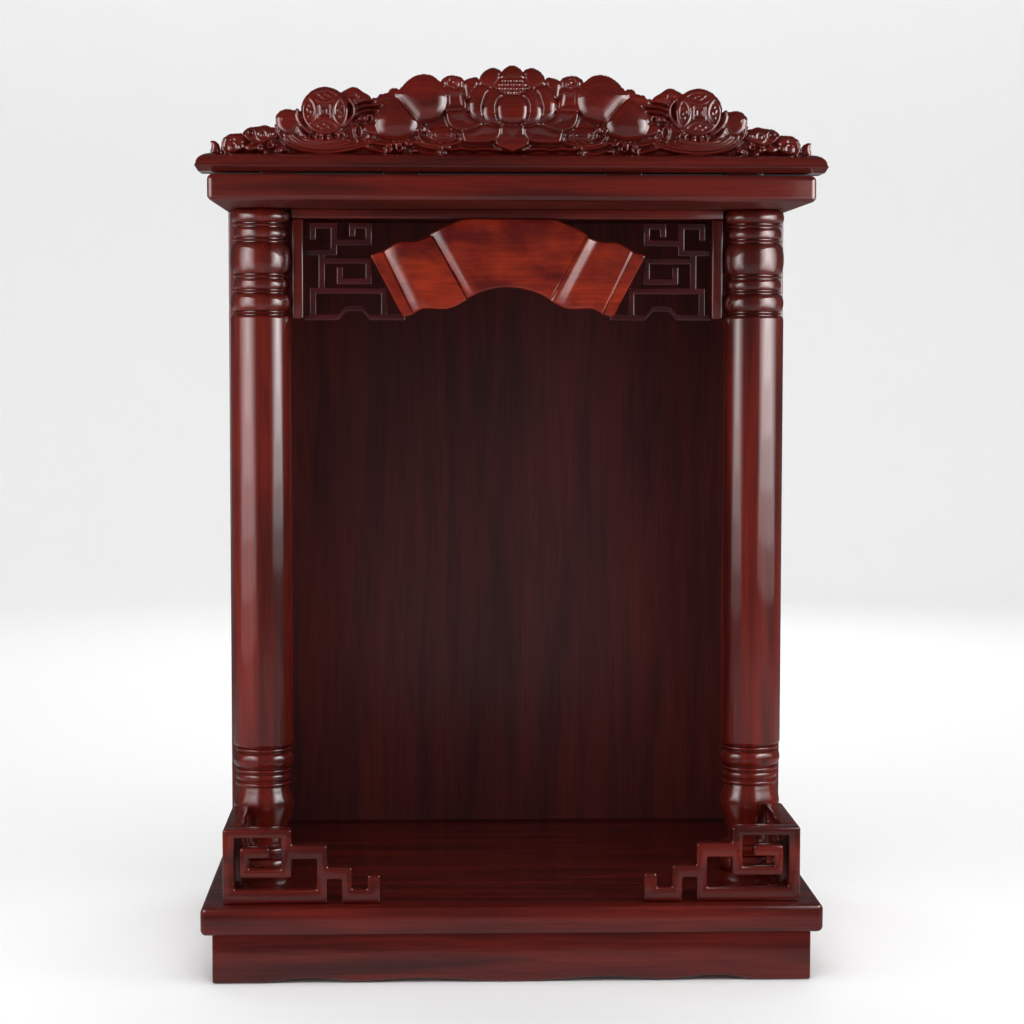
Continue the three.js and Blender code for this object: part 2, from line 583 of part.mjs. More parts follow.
// [across, up, half width, half height, lean in degrees, stand]
const crestLobes = [
  [213, 4.8, 8.4, 9.4, 0, 6], [200, 12.6, 8, 7.6, 0, 7], [189.5, 12.8, 8, 7.6, 0, 6.5],
  [171, 20.5, 9.2, 13, -8, 8], [121.2, 41.4, 9.6, 9, 12, 6], [99.5, 37, 7.5, 8.6, 20, 5],
  [114, 25, 9, 7, 20, 5], [107, 12, 8, 7, -20, 6], [160.5, 20.5, 4.6, 4, 0, 7], [147, 11.6, 5, 3.6, 0, 6],
  [130, 12.8, 5, 3.8, 0, 6], [119.5, 15, 5, 6, 30, 6.5], [92, 40, 9, 8.5, 25, 6],
  [89, 26, 16.4, 15, 0, 7.5], [66.8, 41, 18.2, 19.2, 0, 10.5], [46.2, 53.4, 7.4, 6.4, 0, 6.5],
  [42, 40.5, 7.4, 9, 0, 6], [34, 51, 7, 7, 0, 4.5], [0, 58.4, 8.8, 9, 0, 6], [15.8, 57.6, 9, 8, -20, 6],
  [0, 48.6, 15.5, 5.4, 0, 8], [28.3, 36, 9, 15, 6, 7.5], [17, 34, 9, 14, 4, 9], [0, 32, 10.3, 11, 0, 10.5],
  [36.4, 24.5, 13.8, 8, 14, 7], [23.4, 14.6, 14.2, 8, 8, 8], [53, 13.6, 13.4, 6, 0, 6],
  [71, 17.4, 6, 5, 0, 6.5], [68, 7, 7, 5, -20, 5], [92, 6.4, 9, 4.6, 10, 5], [56, 2.4, 7, 3.6, 0, 6],
  [176, 4.5, 7, 4.4, 0, 5], [186, 4, 7, 4, 0, 5],
];
const crestLeaf = [[215, 0], [228.6, 0], [226, 3], [230, 9], [223, 6.6], [219, 8], [215, 5]];
const crestPoint = [[0, 0.4], [12.9, 7.3], [8.1, 20.4], [-8.1, 20.4], [-12.9, 7.3]];
const crestCoin = { across: 142.6, up: 31.8, radius: 18.4, stand: 9, rim: 2.4, square: 4.7 };
const crestBowl = { across: 140, up: 35, halfWidth: 41, halfHeight: 34.5, ridges: 4, step: 3.4, stand: 4 };

// A dome that rises from the ground, round or oval, with its long axis leaning outwards
function crestLobe([across, up, halfWidth, halfHeight, lean, stand], ground) {
  const profile = [[0, 0], [1, 0], [1, 0.5], [0.74, 0.92], [0, 1.04]];
  const sides = halfWidth + halfHeight > 22 ? 16 : 10;
  const points = profile.map(([r, h]) => new THREE.Vector2(r, h === 0 ? 0 : ground / 2 + stand * h));
  const geometry = new THREE.LatheGeometry(points, sides).scale(halfWidth, 1, halfHeight);
  return geometry.rotateX(Math.PI).rotateY(THREE.MathUtils.degToRad(lean)).translate(across, ground / 2, up);
}

function crestHalf(ground) {
  const plate = (outline, stand) => uprightBoard(
    outline.map(([x, z]) => new THREE.Vector2(x, z)), -stand, ground / 2);
  const parts = crestLobes.map((lobe) => crestLobe(lobe, ground));
  parts.push(plate(crestLeaf, 4));
  const bowl = crestBowl;
  for (let ridge = 0; ridge < bowl.ridges; ridge += 1) {
    const outline = [];
    for (let angle = 205; angle <= 335; angle += 13) {
      const a = THREE.MathUtils.degToRad(angle);
      outline.push([bowl.across + (bowl.halfWidth - ridge * bowl.step) * Math.cos(a),
        bowl.up + (bowl.halfHeight - ridge * bowl.step) * Math.sin(a)]);
    }
    parts.push(plate(outline, bowl.stand + ridge * 1.1));
  }
  const coin = crestCoin;
  const field = coin.stand - 1.2;
  const rim = [[0, 0], [coin.radius, 0], [coin.radius, coin.stand - 0.8], [coin.radius - 0.8, coin.stand],
    [coin.radius - coin.rim, coin.stand], [coin.radius - coin.rim - 0.8, field], [0, field]];
  const disc = new THREE.LatheGeometry(rim.map(([r, h]) => new THREE.Vector2(r, h)), 24);
  parts.push(disc.rotateX(Math.PI).translate(coin.across, 0, coin.up));
  const side = coin.square;
  parts.push(block(coin.across - side, coin.across + side, -field - 0.8, 0, coin.up - side, coin.up + side));
  return joined(parts);
}

function crestCarving() {
  const ground = CREST_GROUND_THICKNESS;
  const right = crestHalf(ground);
  const outline = [...crestGround.map(([x, z]) => [-x, z]).reverse(), ...crestGround.slice(1)];
  const plate = uprightBoard(outline.map(([x, z]) => new THREE.Vector2(x, z)), 0, ground);
  const petal = uprightBoard(crestPoint.map(([x, z]) => new THREE.Vector2(x, z)), -8.5, ground / 2);
  const left = solidOf(mirrored(geometryOf(right)));
  const whole = solidOf(plate).add(solidOf(petal)).add(right).add(left);
  const { halfSpan, height } = crestDrawn;
  const room = block(-halfSpan, halfSpan, -CREST_STAND, ground, 0, height);
  const cut = geometryOf(whole.intersect(solidOf(room)));
  return cut.scale(crestSpan / 2 / halfSpan, 1, CREST_HEIGHT / height);
}

const crestY = plankY + PLANK_DEPTH / 2 - CREST_PLANK_MARGIN - CREST_GROUND_THICKNESS;
addPiece('crest_carving', crestCarving(), redLacquer, 0, crestY, CREST_BOTTOM);

export default cabinet;
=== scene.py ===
"""A household altar cabinet in glossy lacquered hardwood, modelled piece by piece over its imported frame.

Every piece takes its place and size from the CAD node that it stands for. Sizes written here are in
millimetres and become metres where a mesh is made. X runs to the right, Y to the back and Z up.
"""

from __future__ import annotations

import logging
import math
from collections.abc import Callable, Iterator, Sequence
from contextlib import contextmanager
from dataclasses import dataclass
from enum import Enum

import bmesh
import bpy
import numpy as np
from mathutils import Matrix, Vector

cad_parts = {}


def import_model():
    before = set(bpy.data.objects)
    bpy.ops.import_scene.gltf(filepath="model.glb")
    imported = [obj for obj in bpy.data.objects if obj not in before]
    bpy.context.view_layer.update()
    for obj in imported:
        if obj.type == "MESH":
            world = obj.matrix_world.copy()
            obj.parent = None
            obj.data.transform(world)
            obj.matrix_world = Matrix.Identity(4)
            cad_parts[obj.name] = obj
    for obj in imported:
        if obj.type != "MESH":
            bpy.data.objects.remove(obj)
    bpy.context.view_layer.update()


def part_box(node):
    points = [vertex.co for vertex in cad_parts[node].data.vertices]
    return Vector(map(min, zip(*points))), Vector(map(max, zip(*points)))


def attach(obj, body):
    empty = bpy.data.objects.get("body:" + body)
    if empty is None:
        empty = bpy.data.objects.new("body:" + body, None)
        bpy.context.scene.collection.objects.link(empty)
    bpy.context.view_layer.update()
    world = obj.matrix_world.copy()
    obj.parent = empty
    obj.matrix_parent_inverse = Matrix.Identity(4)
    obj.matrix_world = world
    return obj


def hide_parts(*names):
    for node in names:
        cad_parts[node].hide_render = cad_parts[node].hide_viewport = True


log = logging.getLogger("altar_cabinet")

MM = 0.001
FLOOR_GAP = 0.0006
Point = tuple[float, float]
Span = tuple[float, float]


# Helpers for colours, nodes and boxes


def linear(hex_colour: str) -> tuple[float, float, float, float]:
    """Turns an sRGB hex colour into linear light.

    Args:
        hex_colour: Six hex digits.

    Returns:
        Red, green, blue and an alpha of 1.
    """
    channels = [int(hex_colour[i : i + 2], 16) / 255 for i in (0, 2, 4)]
    red, green, blue = (c / 12.92 if c <= 0.04045 else ((c + 0.055) / 1.055) ** 2.4 for c in channels)
    return red, green, blue, 1.0


def add_node(tree: bpy.types.NodeTree, kind: str, inputs: dict | None = None,
             **settings: object) -> bpy.types.Node:
    """Adds one shader node with its settings, values and links.

    Args:
        tree: The node tree that takes the node.
        kind: Blender's name for the node.
        inputs: Values or other nodes' outputs, by socket name or number.
        settings: Properties of the node itself.

    Returns:
        The new node.
    """
    node = tree.nodes.new(kind)
    for name, value in settings.items():
        setattr(node, name, value)
    for key, value in (inputs or {}).items():
        if isinstance(value, bpy.types.NodeSocket):
            tree.links.new(value, node.inputs[key])
        else:
            node.inputs[key].default_value = value
    return node


@dataclass(frozen=True)
class Place:
    """The box that a CAD node fills, in millimetres."""

    low: tuple[float, float, float]
    high: tuple[float, float, float]

    @classmethod
    def of(cls, node: str) -> Place:
        """Reads the box of a CAD node.

        Args:
            node: The node's name.

        Returns:
            Its box in millimetres.
        """
        low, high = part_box(node)
        return cls(tuple(v / MM for v in low), tuple(v / MM for v in high))

    @property
    def size(self) -> tuple[float, float, float]:
        """Width, depth and height."""
        return tuple(b - a for a, b in zip(self.low, self.high))

    @property
    def middle(self) -> tuple[float, float, float]:
        """The centre of the box."""
        return tuple((a + b) / 2 for a, b in zip(self.low, self.high))


# Finishes


class Grain(Enum):
    """The way the wood's grain runs in a piece."""

    ACROSS = "across"
    INWARD = "inward"
    UPRIGHT = "upright"

    def stretch(self, along: float, over: float) -> tuple[float, float, float]:
        """Scales for texture space, per metre.

        Args:
            along: Length of a mark along the grain, in millimetres.
            over: Width of a mark over the grain, in millimetres.

        Returns:
            Three scales, for X, Y and Z.
        """
        slow, fast = 1 / (along * MM), 1 / (over * MM)
        if self is Grain.ACROSS:
            return slow, fast, fast
        if self is Grain.INWARD:
            return fast, slow, fast
        return fast, fast, slow


@dataclass(frozen=True)
class LacqueredHardwood:
    """Sprayed and polished polyester lacquer over stained rosewood.

    The thick clear film gives sharp mirror-like highlights, with a slight unevenness from the spray, and
    the stain under it is a deep red-brown that is darker along the grain's figure and in its pores.
    """

    name: str
    slot: str
    deep: str
    warm: str
    figure_length: float = 190.0
    figure_width: float = 15.0
    streak_length: float = 70.0
    streak_width: float = 1.6
    stain_roughness: float = 0.42
    stain_shine: float = 0.08
    film_roughness: float = 0.10
    film_weight: float = 1.0
    spray_pitch: float = 9.0
    spray_depth: float = 0.03
    figure_band: Span = (0.36, 0.66)
    streak_band: Span = (0.3, 0.62)
    streak_shade: Span = (0.66, 1.04)
    roughness_sway: float = 0.08

    def material(self, grain: Grain) -> bpy.types.Material:
        """Makes the finish for one run of the grain, or returns it if it was made before.

        Args:
            grain: The way the grain runs.

        Returns:
            The material.
        """
        title = f"{self.name}_{grain.value}"
        if title in bpy.data.materials:
            return bpy.data.materials[title]
        made = bpy.data.materials.new(title)
        made.use_nodes = True
        tree = made.node_tree
        tree.nodes.clear()
        place = add_node(tree, "ShaderNodeTexCoord").outputs["Object"]

        def noise(scale: tuple[float, float, float], detail: float, rough: float) -> bpy.types.NodeSocket:
            """A noise field stretched to a mark's size.

            Args:
                scale: Scales of texture space for X, Y and Z.
                detail: How many finer octaves it has.
                rough: How strong the finer octaves are.

            Returns:
                The field's output.
            """
            mapped = add_node(tree, "ShaderNodeMapping", {"Vector": place, "Scale": scale})
            field = add_node(tree, "ShaderNodeTexNoise", {
                "Vector": mapped.outputs["Vector"], "Scale": 1.0, "Detail": detail, "Roughness": rough})
            return field.outputs["Fac"]

        figure = noise(grain.stretch(self.figure_length, self.figure_width), 3.0, 0.55)
        streak = noise(grain.stretch(self.streak_length, self.streak_width), 4.0, 0.6)
        spray = noise((1 / (self.spray_pitch * MM),) * 3, 1.0, 0.4)

        # Stain: the figure turns the colour from deep to warm, and the streaks darken it along the grain
        tone = add_node(tree, "ShaderNodeMapRange", {
            "Value": figure, "From Min": self.figure_band[0], "From Max": self.figure_band[1]})
        stain = add_node(tree, "ShaderNodeMix", data_type="RGBA", blend_type="MIX")
        tree.links.new(tone.outputs["Result"], stain.inputs["Factor"])
        stain.inputs["A"].default_value = linear(self.deep)
        stain.inputs["B"].default_value = linear(self.warm)
        shade = add_node(tree, "ShaderNodeMapRange", {
            "Value": streak, "From Min": self.streak_band[0], "From Max": self.streak_band[1],
            "To Min": self.streak_shade[0], "To Max": self.streak_shade[1]})
        pores = add_node(tree, "ShaderNodeVectorMath", {
            0: stain.outputs["Result"], "Scale": shade.outputs["Result"]}, operation="SCALE")
        rough = add_node(tree, "ShaderNodeMapRange", {
            "Value": streak, "To Min": self.stain_roughness - self.roughness_sway,
            "To Max": self.stain_roughness + self.roughness_sway})
        film = add_node(tree, "ShaderNodeBump", {
            "Height": spray, "Strength": 0.35, "Distance": self.spray_depth * MM})
        lacquer = add_node(tree, "ShaderNodeBsdfPrincipled", {
            "Base Color": pores.outputs["Vector"],
            "Roughness": rough.outputs["Result"],
            "IOR": 1.5,
            "Specular IOR Level": self.stain_shine,
            "Coat Weight": self.film_weight,
            "Coat Roughness": self.film_roughness,
            "Coat IOR": 1.54,
            "Coat Normal": film.outputs["Normal"],
        })
        add_node(tree, "ShaderNodeOutputMaterial", {"Surface": lacquer.outputs["BSDF"]})
        return made


# The case is a deep red-brown that turns darker along its figure and shines like a mirror
CASE_LACQUER = LacqueredHardwood("rosewood_lacquer", "lacquer", "45110c", "6e1b11")
# The crest is stained a little redder than the case, so that its relief reads from afar
CARVING_LACQUER = LacqueredHardwood("carving_lacquer", "red_lacquer", "531109", "72190e")
# The fan is the same lacquer over a paler, more orange stain with broad cloudy figure
FAN_LACQUER = LacqueredHardwood("fan_lacquer", "red_lacquer", "64140f", "a02f14", figure_length=44.0,
                                figure_width=26.0, streak_width=2.6)
# The frets are stained darker, and this darker stain also paints the shade that falls on them under the
# crown, so they stand back behind the fan
FRET_LACQUER_WITH_PAINTED_SHADE = LacqueredHardwood("fret_lacquer_painted_shade", "lacquer", "2c0b0c", "4a1216")
# The rear wall is browner and rubbed down to satin: it shows a faint sheen and no mirror image
INNER_LACQUER = LacqueredHardwood("inner_lacquer", "inner_lacquer", "4a2425", "5e2b27",
                                  film_roughness=0.3, film_weight=0.5)
# The crown board's underside is sealed with one thin matt coat, so it mirrors nothing
SEALED_UNDERSIDE = LacqueredHardwood("sealed_underside", "lacquer", "4e170f", "601e12",
                                     film_roughness=0.6, film_weight=0.1)


# Meshes into pieces


def finish_piece(name: str, mesh: bpy.types.Mesh, nodes: Sequence[str], finish: LacqueredHardwood,
                 grain: Grain, crease: float = 38.0) -> bpy.types.Object:
    """Turns a mesh into a piece that stands for CAD nodes, rides on the cabinet and wears a finish.

    Args:
        name: The piece's name.
        mesh: Its mesh, in metres.
        nodes: The CAD nodes that it stands for.
        finish: The finish.
        grain: The way the grain runs.
        crease: Angle in degrees above which an edge stays sharp.

    Returns:
        The piece.
    """
    mesh.validate()
    mesh.shade_smooth()
    mesh.set_sharp_from_angle(angle=math.radians(crease))
    piece = bpy.data.objects.new(name, mesh)
    bpy.context.scene.collection.objects.link(piece)
    mesh.materials.append(finish.material(grain))
    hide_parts(*nodes)
    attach(piece, "root")
    log.info("%s: %d faces", name, len(mesh.polygons))
    return piece


def mesh_of(name: str, corners: np.ndarray | Sequence[Sequence[float]],
            faces: Sequence[Sequence[int]]) -> bpy.types.Mesh:
    """Makes a mesh from corners in millimetres.

    Args:
        name: The mesh's name.
        corners: One row of X, Y, Z for each corner.
        faces: Corner numbers of each face, anticlockwise from outside.

    Returns:
        The mesh, in metres.
    """
    mesh = bpy.data.meshes.new(name)
    mesh.from_pydata((np.asarray(corners, dtype=float) * MM).tolist(), [], [list(face) for face in faces])
    return mesh


@contextmanager
def edited(mesh: bpy.types.Mesh) -> Iterator[bmesh.types.BMesh]:
    """Opens a mesh for changes, and writes them back at the end of the block.

    Args:
        mesh: The mesh, changed in place.

    Returns:
        Its editable form.
    """
    shape = bmesh.new()
    shape.from_mesh(mesh)
    yield shape
    shape.to_mesh(mesh)
    shape.free()


def eased(mesh: bpy.types.Mesh, width: float, segments: int = 3, angle: float = 30.0) -> bpy.types.Mesh:
    """Rounds every edge of a mesh that is sharper than an angle.

    Args:
        mesh: The mesh, changed in place.
        width: Width of the rounding, in millimetres.
        segments: Steps round each edge.
        angle: Edges flatter than this stay, in degrees.

    Returns:
        The same mesh.
    """
    with edited(mesh) as shape:
        sharp = [edge for edge in shape.edges
                 if edge.is_manifold and edge.calc_face_angle(0) > math.radians(angle)]
        bmesh.ops.bevel(shape, geom=sharp, offset=width * MM, offset_type="OFFSET", segments=segments,
                        profile=0.5, affect="EDGES", clamp_overlap=True)
    return mesh


def loft(name: str, rings: Sequence[np.ndarray]) -> bpy.types.Mesh:
    """A closed body through rings that all have the same number of corners.

    Args:
        name: The mesh's name.
        rings: Each ring's corners, in millimetres, anticlockwise seen against the way the rings run.

    Returns:
        The mesh.
    """
    count = len(rings[0])
    faces: list[list[int]] = []
    for i in range(len(rings) - 1):
        for k in range(count):
            after = (k + 1) % count
            start, end = i * count, (i + 1) * count
            faces.append([start + k, start + after, end + after, end + k])
    last = (len(rings) - 1) * count
    faces.append(list(reversed(range(count))))
    faces.append([last + k for k in range(count)])
    return mesh_of(name, np.concatenate(rings), faces)


# Boards


@dataclass(frozen=True)
class Board:
    """A sawn and planed board with eased edges, in the place of one CAD node."""

    node: str
    grain: Grain
    easing: float = 1.2
    finish: LacqueredHardwood = CASE_LACQUER
    plain_underside: bool = False

    def build(self) -> bpy.types.Object:
        """Makes the board.

        Returns:
            The piece.
        """
        place = Place.of(self.node)
        mesh = bpy.data.meshes.new(self.node)
        with edited(mesh) as shape:
            bmesh.ops.create_cube(shape, size=1.0)
            bmesh.ops.scale(shape, vec=[v * MM for v in place.size], verts=shape.verts)
            bmesh.ops.translate(shape, vec=[v * MM for v in place.middle], verts=shape.verts)
        eased(mesh, self.easing, segments=5 if self.easing > 2 else 3)
        piece = finish_piece(f"{self.node}_planed", mesh, [self.node], self.finish, self.grain)
        if self.plain_underside:
            mesh.materials.append(SEALED_UNDERSIDE.material(self.grain))
            straight_down = -0.98
            for face in mesh.polygons:
                if face.normal.z < straight_down:
                    face.material_index = 1
        return piece


@dataclass(frozen=True)
class PlinthBoard:
    """One board of the plinth, on its edge, with flat feet and a low wave sawn between them."""

    node: str
    foot: float = 34.0
    wave: float = 3.6
    easing: float = 1.3
    crests: tuple[Point, ...] = ((-1, 0), (-0.8, 1), (-0.59, 0.28), (-0.39, 0.85), (0, 0),
                                 (0.39, 0.85), (0.59, 0.28), (0.8, 1), (1, 0))
    steps: int = 64

    def lift(self, share: np.ndarray) -> np.ndarray:
        """Height of the wave over the floor.

        Args:
            share: Place along the wave, from -1 to 1.

        Returns:
            Heights in millimetres.
        """
        at, up = np.array(self.crests, dtype=float).T
        blend = np.zeros_like(share)
        for i in range(len(at) - 1):
            t = np.clip((share - at[i]) / (at[i + 1] - at[i]), 0, 1)
            here = (share >= at[i]) & (share <= at[i + 1])
            blend = np.where(here, up[i] + (up[i + 1] - up[i]) * (1 - np.cos(np.pi * t)) / 2, blend)
        return self.wave * blend

    def build(self) -> bpy.types.Object:
        """Makes the board.

        Returns:
            The piece.
        """
        place = Place.of(self.node)
        width, depth, height = place.size
        inward = depth > width
        length, thickness = (depth, width) if inward else (width, depth)
        span = length / 2 - self.foot
        share = np.linspace(-1, 1, self.steps + 1)
        foot = [(-length / 2, 0.0), *zip(share * span, self.lift(share)), (length / 2, 0.0)]
        rings = []
        for along, up in foot:
            section = np.array([(-thickness / 2, up), (thickness / 2, up), (thickness / 2, height),
                                (-thickness / 2, height)])
            across = np.full(4, along)
            columns = (across, section[:, 0], section[:, 1])
            if inward:
                columns = (-section[:, 0], across, section[:, 1])
            rings.append(np.stack(columns, axis=1) + (place.middle[0], place.middle[1], place.low[2]))
        mesh = eased(loft(self.node, rings), self.easing, angle=40.0)
        grain = Grain.INWARD if inward else Grain.ACROSS
        return finish_piece(f"{self.node}_sawn", mesh, [self.node], CASE_LACQUER, grain)


@dataclass(frozen=True)
class MouldedPlank:
    """The crest's plank: an undercut fascia, a quirk and a quarter round along its front and both ends."""

    node: str = "crest_plank"
    fascia: float = 5.4
    undercut: float = 2.4
    arris: float = 0.7
    quirk: float = 1.0
    round_width: float = 12.6
    steps: int = 14

    def levels(self, thickness: float) -> list[Point]:
        """The moulding's section.

        Args:
            thickness: The plank's thickness in millimetres.

        Returns:
            Heights and insets, from the underside up.
        """
        corner = np.linspace(0, math.pi / 2, 6)
        under = [(0.0, self.undercut + 0.6), (0.15, self.undercut + 0.2), (0.5, self.undercut)]
        rise = thickness - self.fascia - self.quirk
        ovolo = [(self.fascia + self.quirk + rise * math.sin(a),
                  self.quirk + self.round_width * (1 - math.cos(a)))
                 for a in np.linspace(0, math.pi / 2, self.steps)]
        over = [(self.fascia - self.arris * (1 - math.sin(a)), self.arris * (1 - math.cos(a)))
                for a in corner]
        return [*under, *over, *ovolo]

    def build(self) -> bpy.types.Object:
        """Makes the plank.

        Returns:
            The piece.
        """
        place = Place.of(self.node)
        (x0, y0, z0), (x1, y1, _) = place.low, place.high
        rings = [np.array([(x0 + inset, y0 + inset, z0 + up), (x1 - inset, y0 + inset, z0 + up),
                           (x1 - inset, y1, z0 + up), (x0 + inset, y1, z0 + up)])
                 for up, inset in self.levels(place.size[2])]
        mesh = loft(self.node, rings)
        return finish_piece("crest_plank_moulded", mesh, [self.node], CASE_LACQUER, Grain.ACROSS)


# Turned columns


@dataclass(frozen=True)
class Column:
    """A column turned from one stock: beads and fillets at the head, a plain shaft, a vase at the foot.

    A row of head, ankle or foot is one bead: its height, whether it is a small one, and the gap beside it.
    """

    node: str
    groove: float = 4.2
    small_cut: float = 2.2
    ring_cut: float = 1.6
    vase_height: float = 46.0
    vase_waist: float = 7.0
    vase_neck: float = 3.6
    vase_belly: float = 0.7
    shoulder: float = 3.0
    head_gap: float = 0.3
    broad_bead: float = 12.0
    sides: int = 112
    head: tuple[tuple[float, bool, float], ...] = (
        (11.1, False, 3.5), (8.9, True, 3.2), (25.4, False, 3.6), (8.8, True, 2.9), (14.5, False, 3.0))
    ankle: tuple[tuple[float, bool, float], ...] = ((6.0, True, 5.4), (12.3, False, 4.8))
    foot: tuple[tuple[float, bool, float], ...] = ((13.0, False, 3.0), (6.0, True, 3.0))

    def profile(self, radius: float, height: float) -> np.ndarray:
        """The turned profile from the foot up.

        Args:
            radius: The stock's radius in millimetres.
            height: The column's height in millimetres.

        Returns:
            Rows of radius and height, starting and ending on the axis.
        """
        floor = radius - self.groove
        rows: list[Point] = [(0.0, 0.0), (floor, 0.0)]
        z = 0.0

        def bead(tall: float, small: bool) -> None:
            """Turns one bead.

            Args:
                tall: Its height in millimetres.
                small: Whether it is cut back from the stock.
            """
            nonlocal z
            swell = self.groove - (self.small_cut if small else 0.0)
            # A broad bead is turned a little fuller than a half round
            fullness = 1.0 if tall < self.broad_bead else 0.85
            for a in np.radians(np.linspace(5, 175, 19)):
                rows.append((floor + swell * math.sin(a) ** fullness, z + tall * (1 - math.cos(a)) / 2))
            z += tall

        def fillet(tall: float) -> None:
            """Cuts one groove with a fine ring in it.

            Args:
                tall: Its height in millimetres.
            """
            nonlocal z
            ring = self.groove - self.ring_cut
            rows.append((floor, z))
            for a in np.radians(np.linspace(0, 180, 7)):
                rows.append((floor + ring * math.sin(a), z + tall * (0.5 - 0.34 * math.cos(a))))
            z += tall
            rows.append((floor, z))

        for tall, small, gap in self.foot:
            bead(tall, small)
            fillet(gap)
        waist = radius - self.vase_waist
        for t in np.linspace(0.03, 0.97, 24):
            rise = smooth_step(t, 0.0, self.vase_belly)
            fall = smooth_step(t, self.vase_belly, 1.0)
            rows.append((waist + (radius - waist) * rise - self.vase_neck * fall, z + self.vase_height * t))
        z += self.vase_height
        for tall, small, gap in self.ankle:
            fillet(gap)
            bead(tall, small)
        fillet(self.ankle[-1][2])
        shaft_top = height - self.head_gap - sum(tall + gap for tall, _, gap in self.head)
        for end, way in ((z, 1), (shaft_top, -1)):
            corner = [(radius - self.shoulder * (1 - math.sin(a)),
                       end + way * self.shoulder * (1 - math.cos(a)))
                      for a in np.radians(np.linspace(10, 90, 7))]
            rows.extend(corner if way > 0 else corner[::-1])
        z = shaft_top
        for tall, small, gap in reversed(self.head):
            fillet(gap)
            bead(tall, small)
        rows.extend([(floor, height), (0.0, height)])
        return np.array(rows)

    def build(self) -> bpy.types.Object:
        """Makes the column.

        Returns:
            The piece.
        """
        place = Place.of(self.node)
        rows = self.profile(place.size[0] / 2, place.size[2])
        turn = np.linspace(0, 2 * math.pi, self.sides, endpoint=False)
        ring = np.stack((np.cos(turn), np.sin(turn)), axis=1)
        centre = (place.middle[0], place.middle[1], place.low[2])
        rings = [np.column_stack((ring * r, np.full(self.sides, z))) + centre for r, z in rows[1:-1]]
        mesh = loft(self.node, rings)
        return finish_piece(f"{self.node}_turned", mesh, [self.node], CASE_LACQUER, Grain.UPRIGHT,
                            crease=50.0)


def smooth_step(value: float | np.ndarray, start: float, end: float) -> float | np.ndarray:
    """A smooth rise from 0 to 1.

    Args:
        value: Where to read it.
        start: Where the rise starts.
        end: Where the rise ends.

    Returns:
        The height of the rise.
    """
    t = np.clip((value - start) / (end - start), 0.0, 1.0)
    return t * t * (3 - 2 * t)


# Barwork: fret and fences


@dataclass(frozen=True)
class Bar:
    """One straight bar, between two lines across and two lines up."""

    start: float
    end: float
    low: float
    high: float


def barwork(name: str, bars: Sequence[Bar], thickness: float, easing: float,
            place: Callable[[np.ndarray], np.ndarray]) -> bpy.types.Mesh:
    """Saws a lattice of bars from one board, as one closed mesh with eased edges.

    Args:
        name: The mesh's name.
        bars: The bars, in the board's own lines, in millimetres.
        thickness: The board's thickness.
        easing: Rounding of its edges.
        place: Turns rows of (across, through, up) into rows of X, Y and Z in millimetres.

    Returns:
        The mesh.
    """
    across = np.unique(np.round([v for bar in bars for v in (bar.start, bar.end)], 3))
    up = np.unique(np.round([v for bar in bars for v in (bar.low, bar.high)], 3))
    middle_x = (across[1:] + across[:-1]) / 2
    middle_z = (up[1:] + up[:-1]) / 2
    solid = np.zeros((len(middle_x), len(middle_z)), dtype=bool)
    for bar in bars:
        inside_x = (middle_x > bar.start) & (middle_x < bar.end)
        inside_z = (middle_z > bar.low) & (middle_z < bar.high)
        solid |= inside_x[:, None] & inside_z[None, :]
    corners: list[tuple[float, float, float]] = []
    numbers: dict[tuple[int, int, int], int] = {}

    def corner(i: int, k: int, side: int) -> int:
        """The number of a lattice corner.

        Args:
            i: Its line across.
            k: Its line up.
            side: 0 on the front, 1 on the back.

        Returns:
            Its number among the mesh's corners.
        """
        if (i, k, side) not in numbers:
            numbers[i, k, side] = len(corners)
            corners.append((across[i], thickness * side, up[k]))
        return numbers[i, k, side]

    faces: list[list[int]] = []
    for i, k in zip(*np.nonzero(solid)):
        faces.append([corner(i, k, 0), corner(i + 1, k, 0), corner(i + 1, k + 1, 0), corner(i, k + 1, 0)])
        faces.append([corner(i, k, 1), corner(i, k + 1, 1), corner(i + 1, k + 1, 1), corner(i + 1, k, 1)])
        # A wall on each side of the cell that has no neighbour
        for step, (ai, ak), (bi, bk) in (((-1, 0), (0, 1), (0, 0)), ((1, 0), (1, 0), (1, 1)),
                                         ((0, -1), (0, 0), (1, 0)), ((0, 1), (1, 1), (0, 1))):
            ni, nk = i + step[0], k + step[1]
            if 0 <= ni < solid.shape[0] and 0 <= nk < solid.shape[1] and solid[ni, nk]:
                continue
            faces.append([corner(i + bi, k + bk, 0), corner(i + ai, k + ak, 0),
                          corner(i + ai, k + ak, 1), corner(i + bi, k + bk, 1)])
    mesh = mesh_of(name, place(np.array(corners)), faces)
    with edited(mesh) as shape:
        bmesh.ops.recalc_face_normals(shape, faces=shape.faces)
        bmesh.ops.dissolve_limit(shape, angle_limit=math.radians(2), verts=shape.verts, edges=shape.edges)
    return eased(mesh, easing, segments=4, angle=25.0)


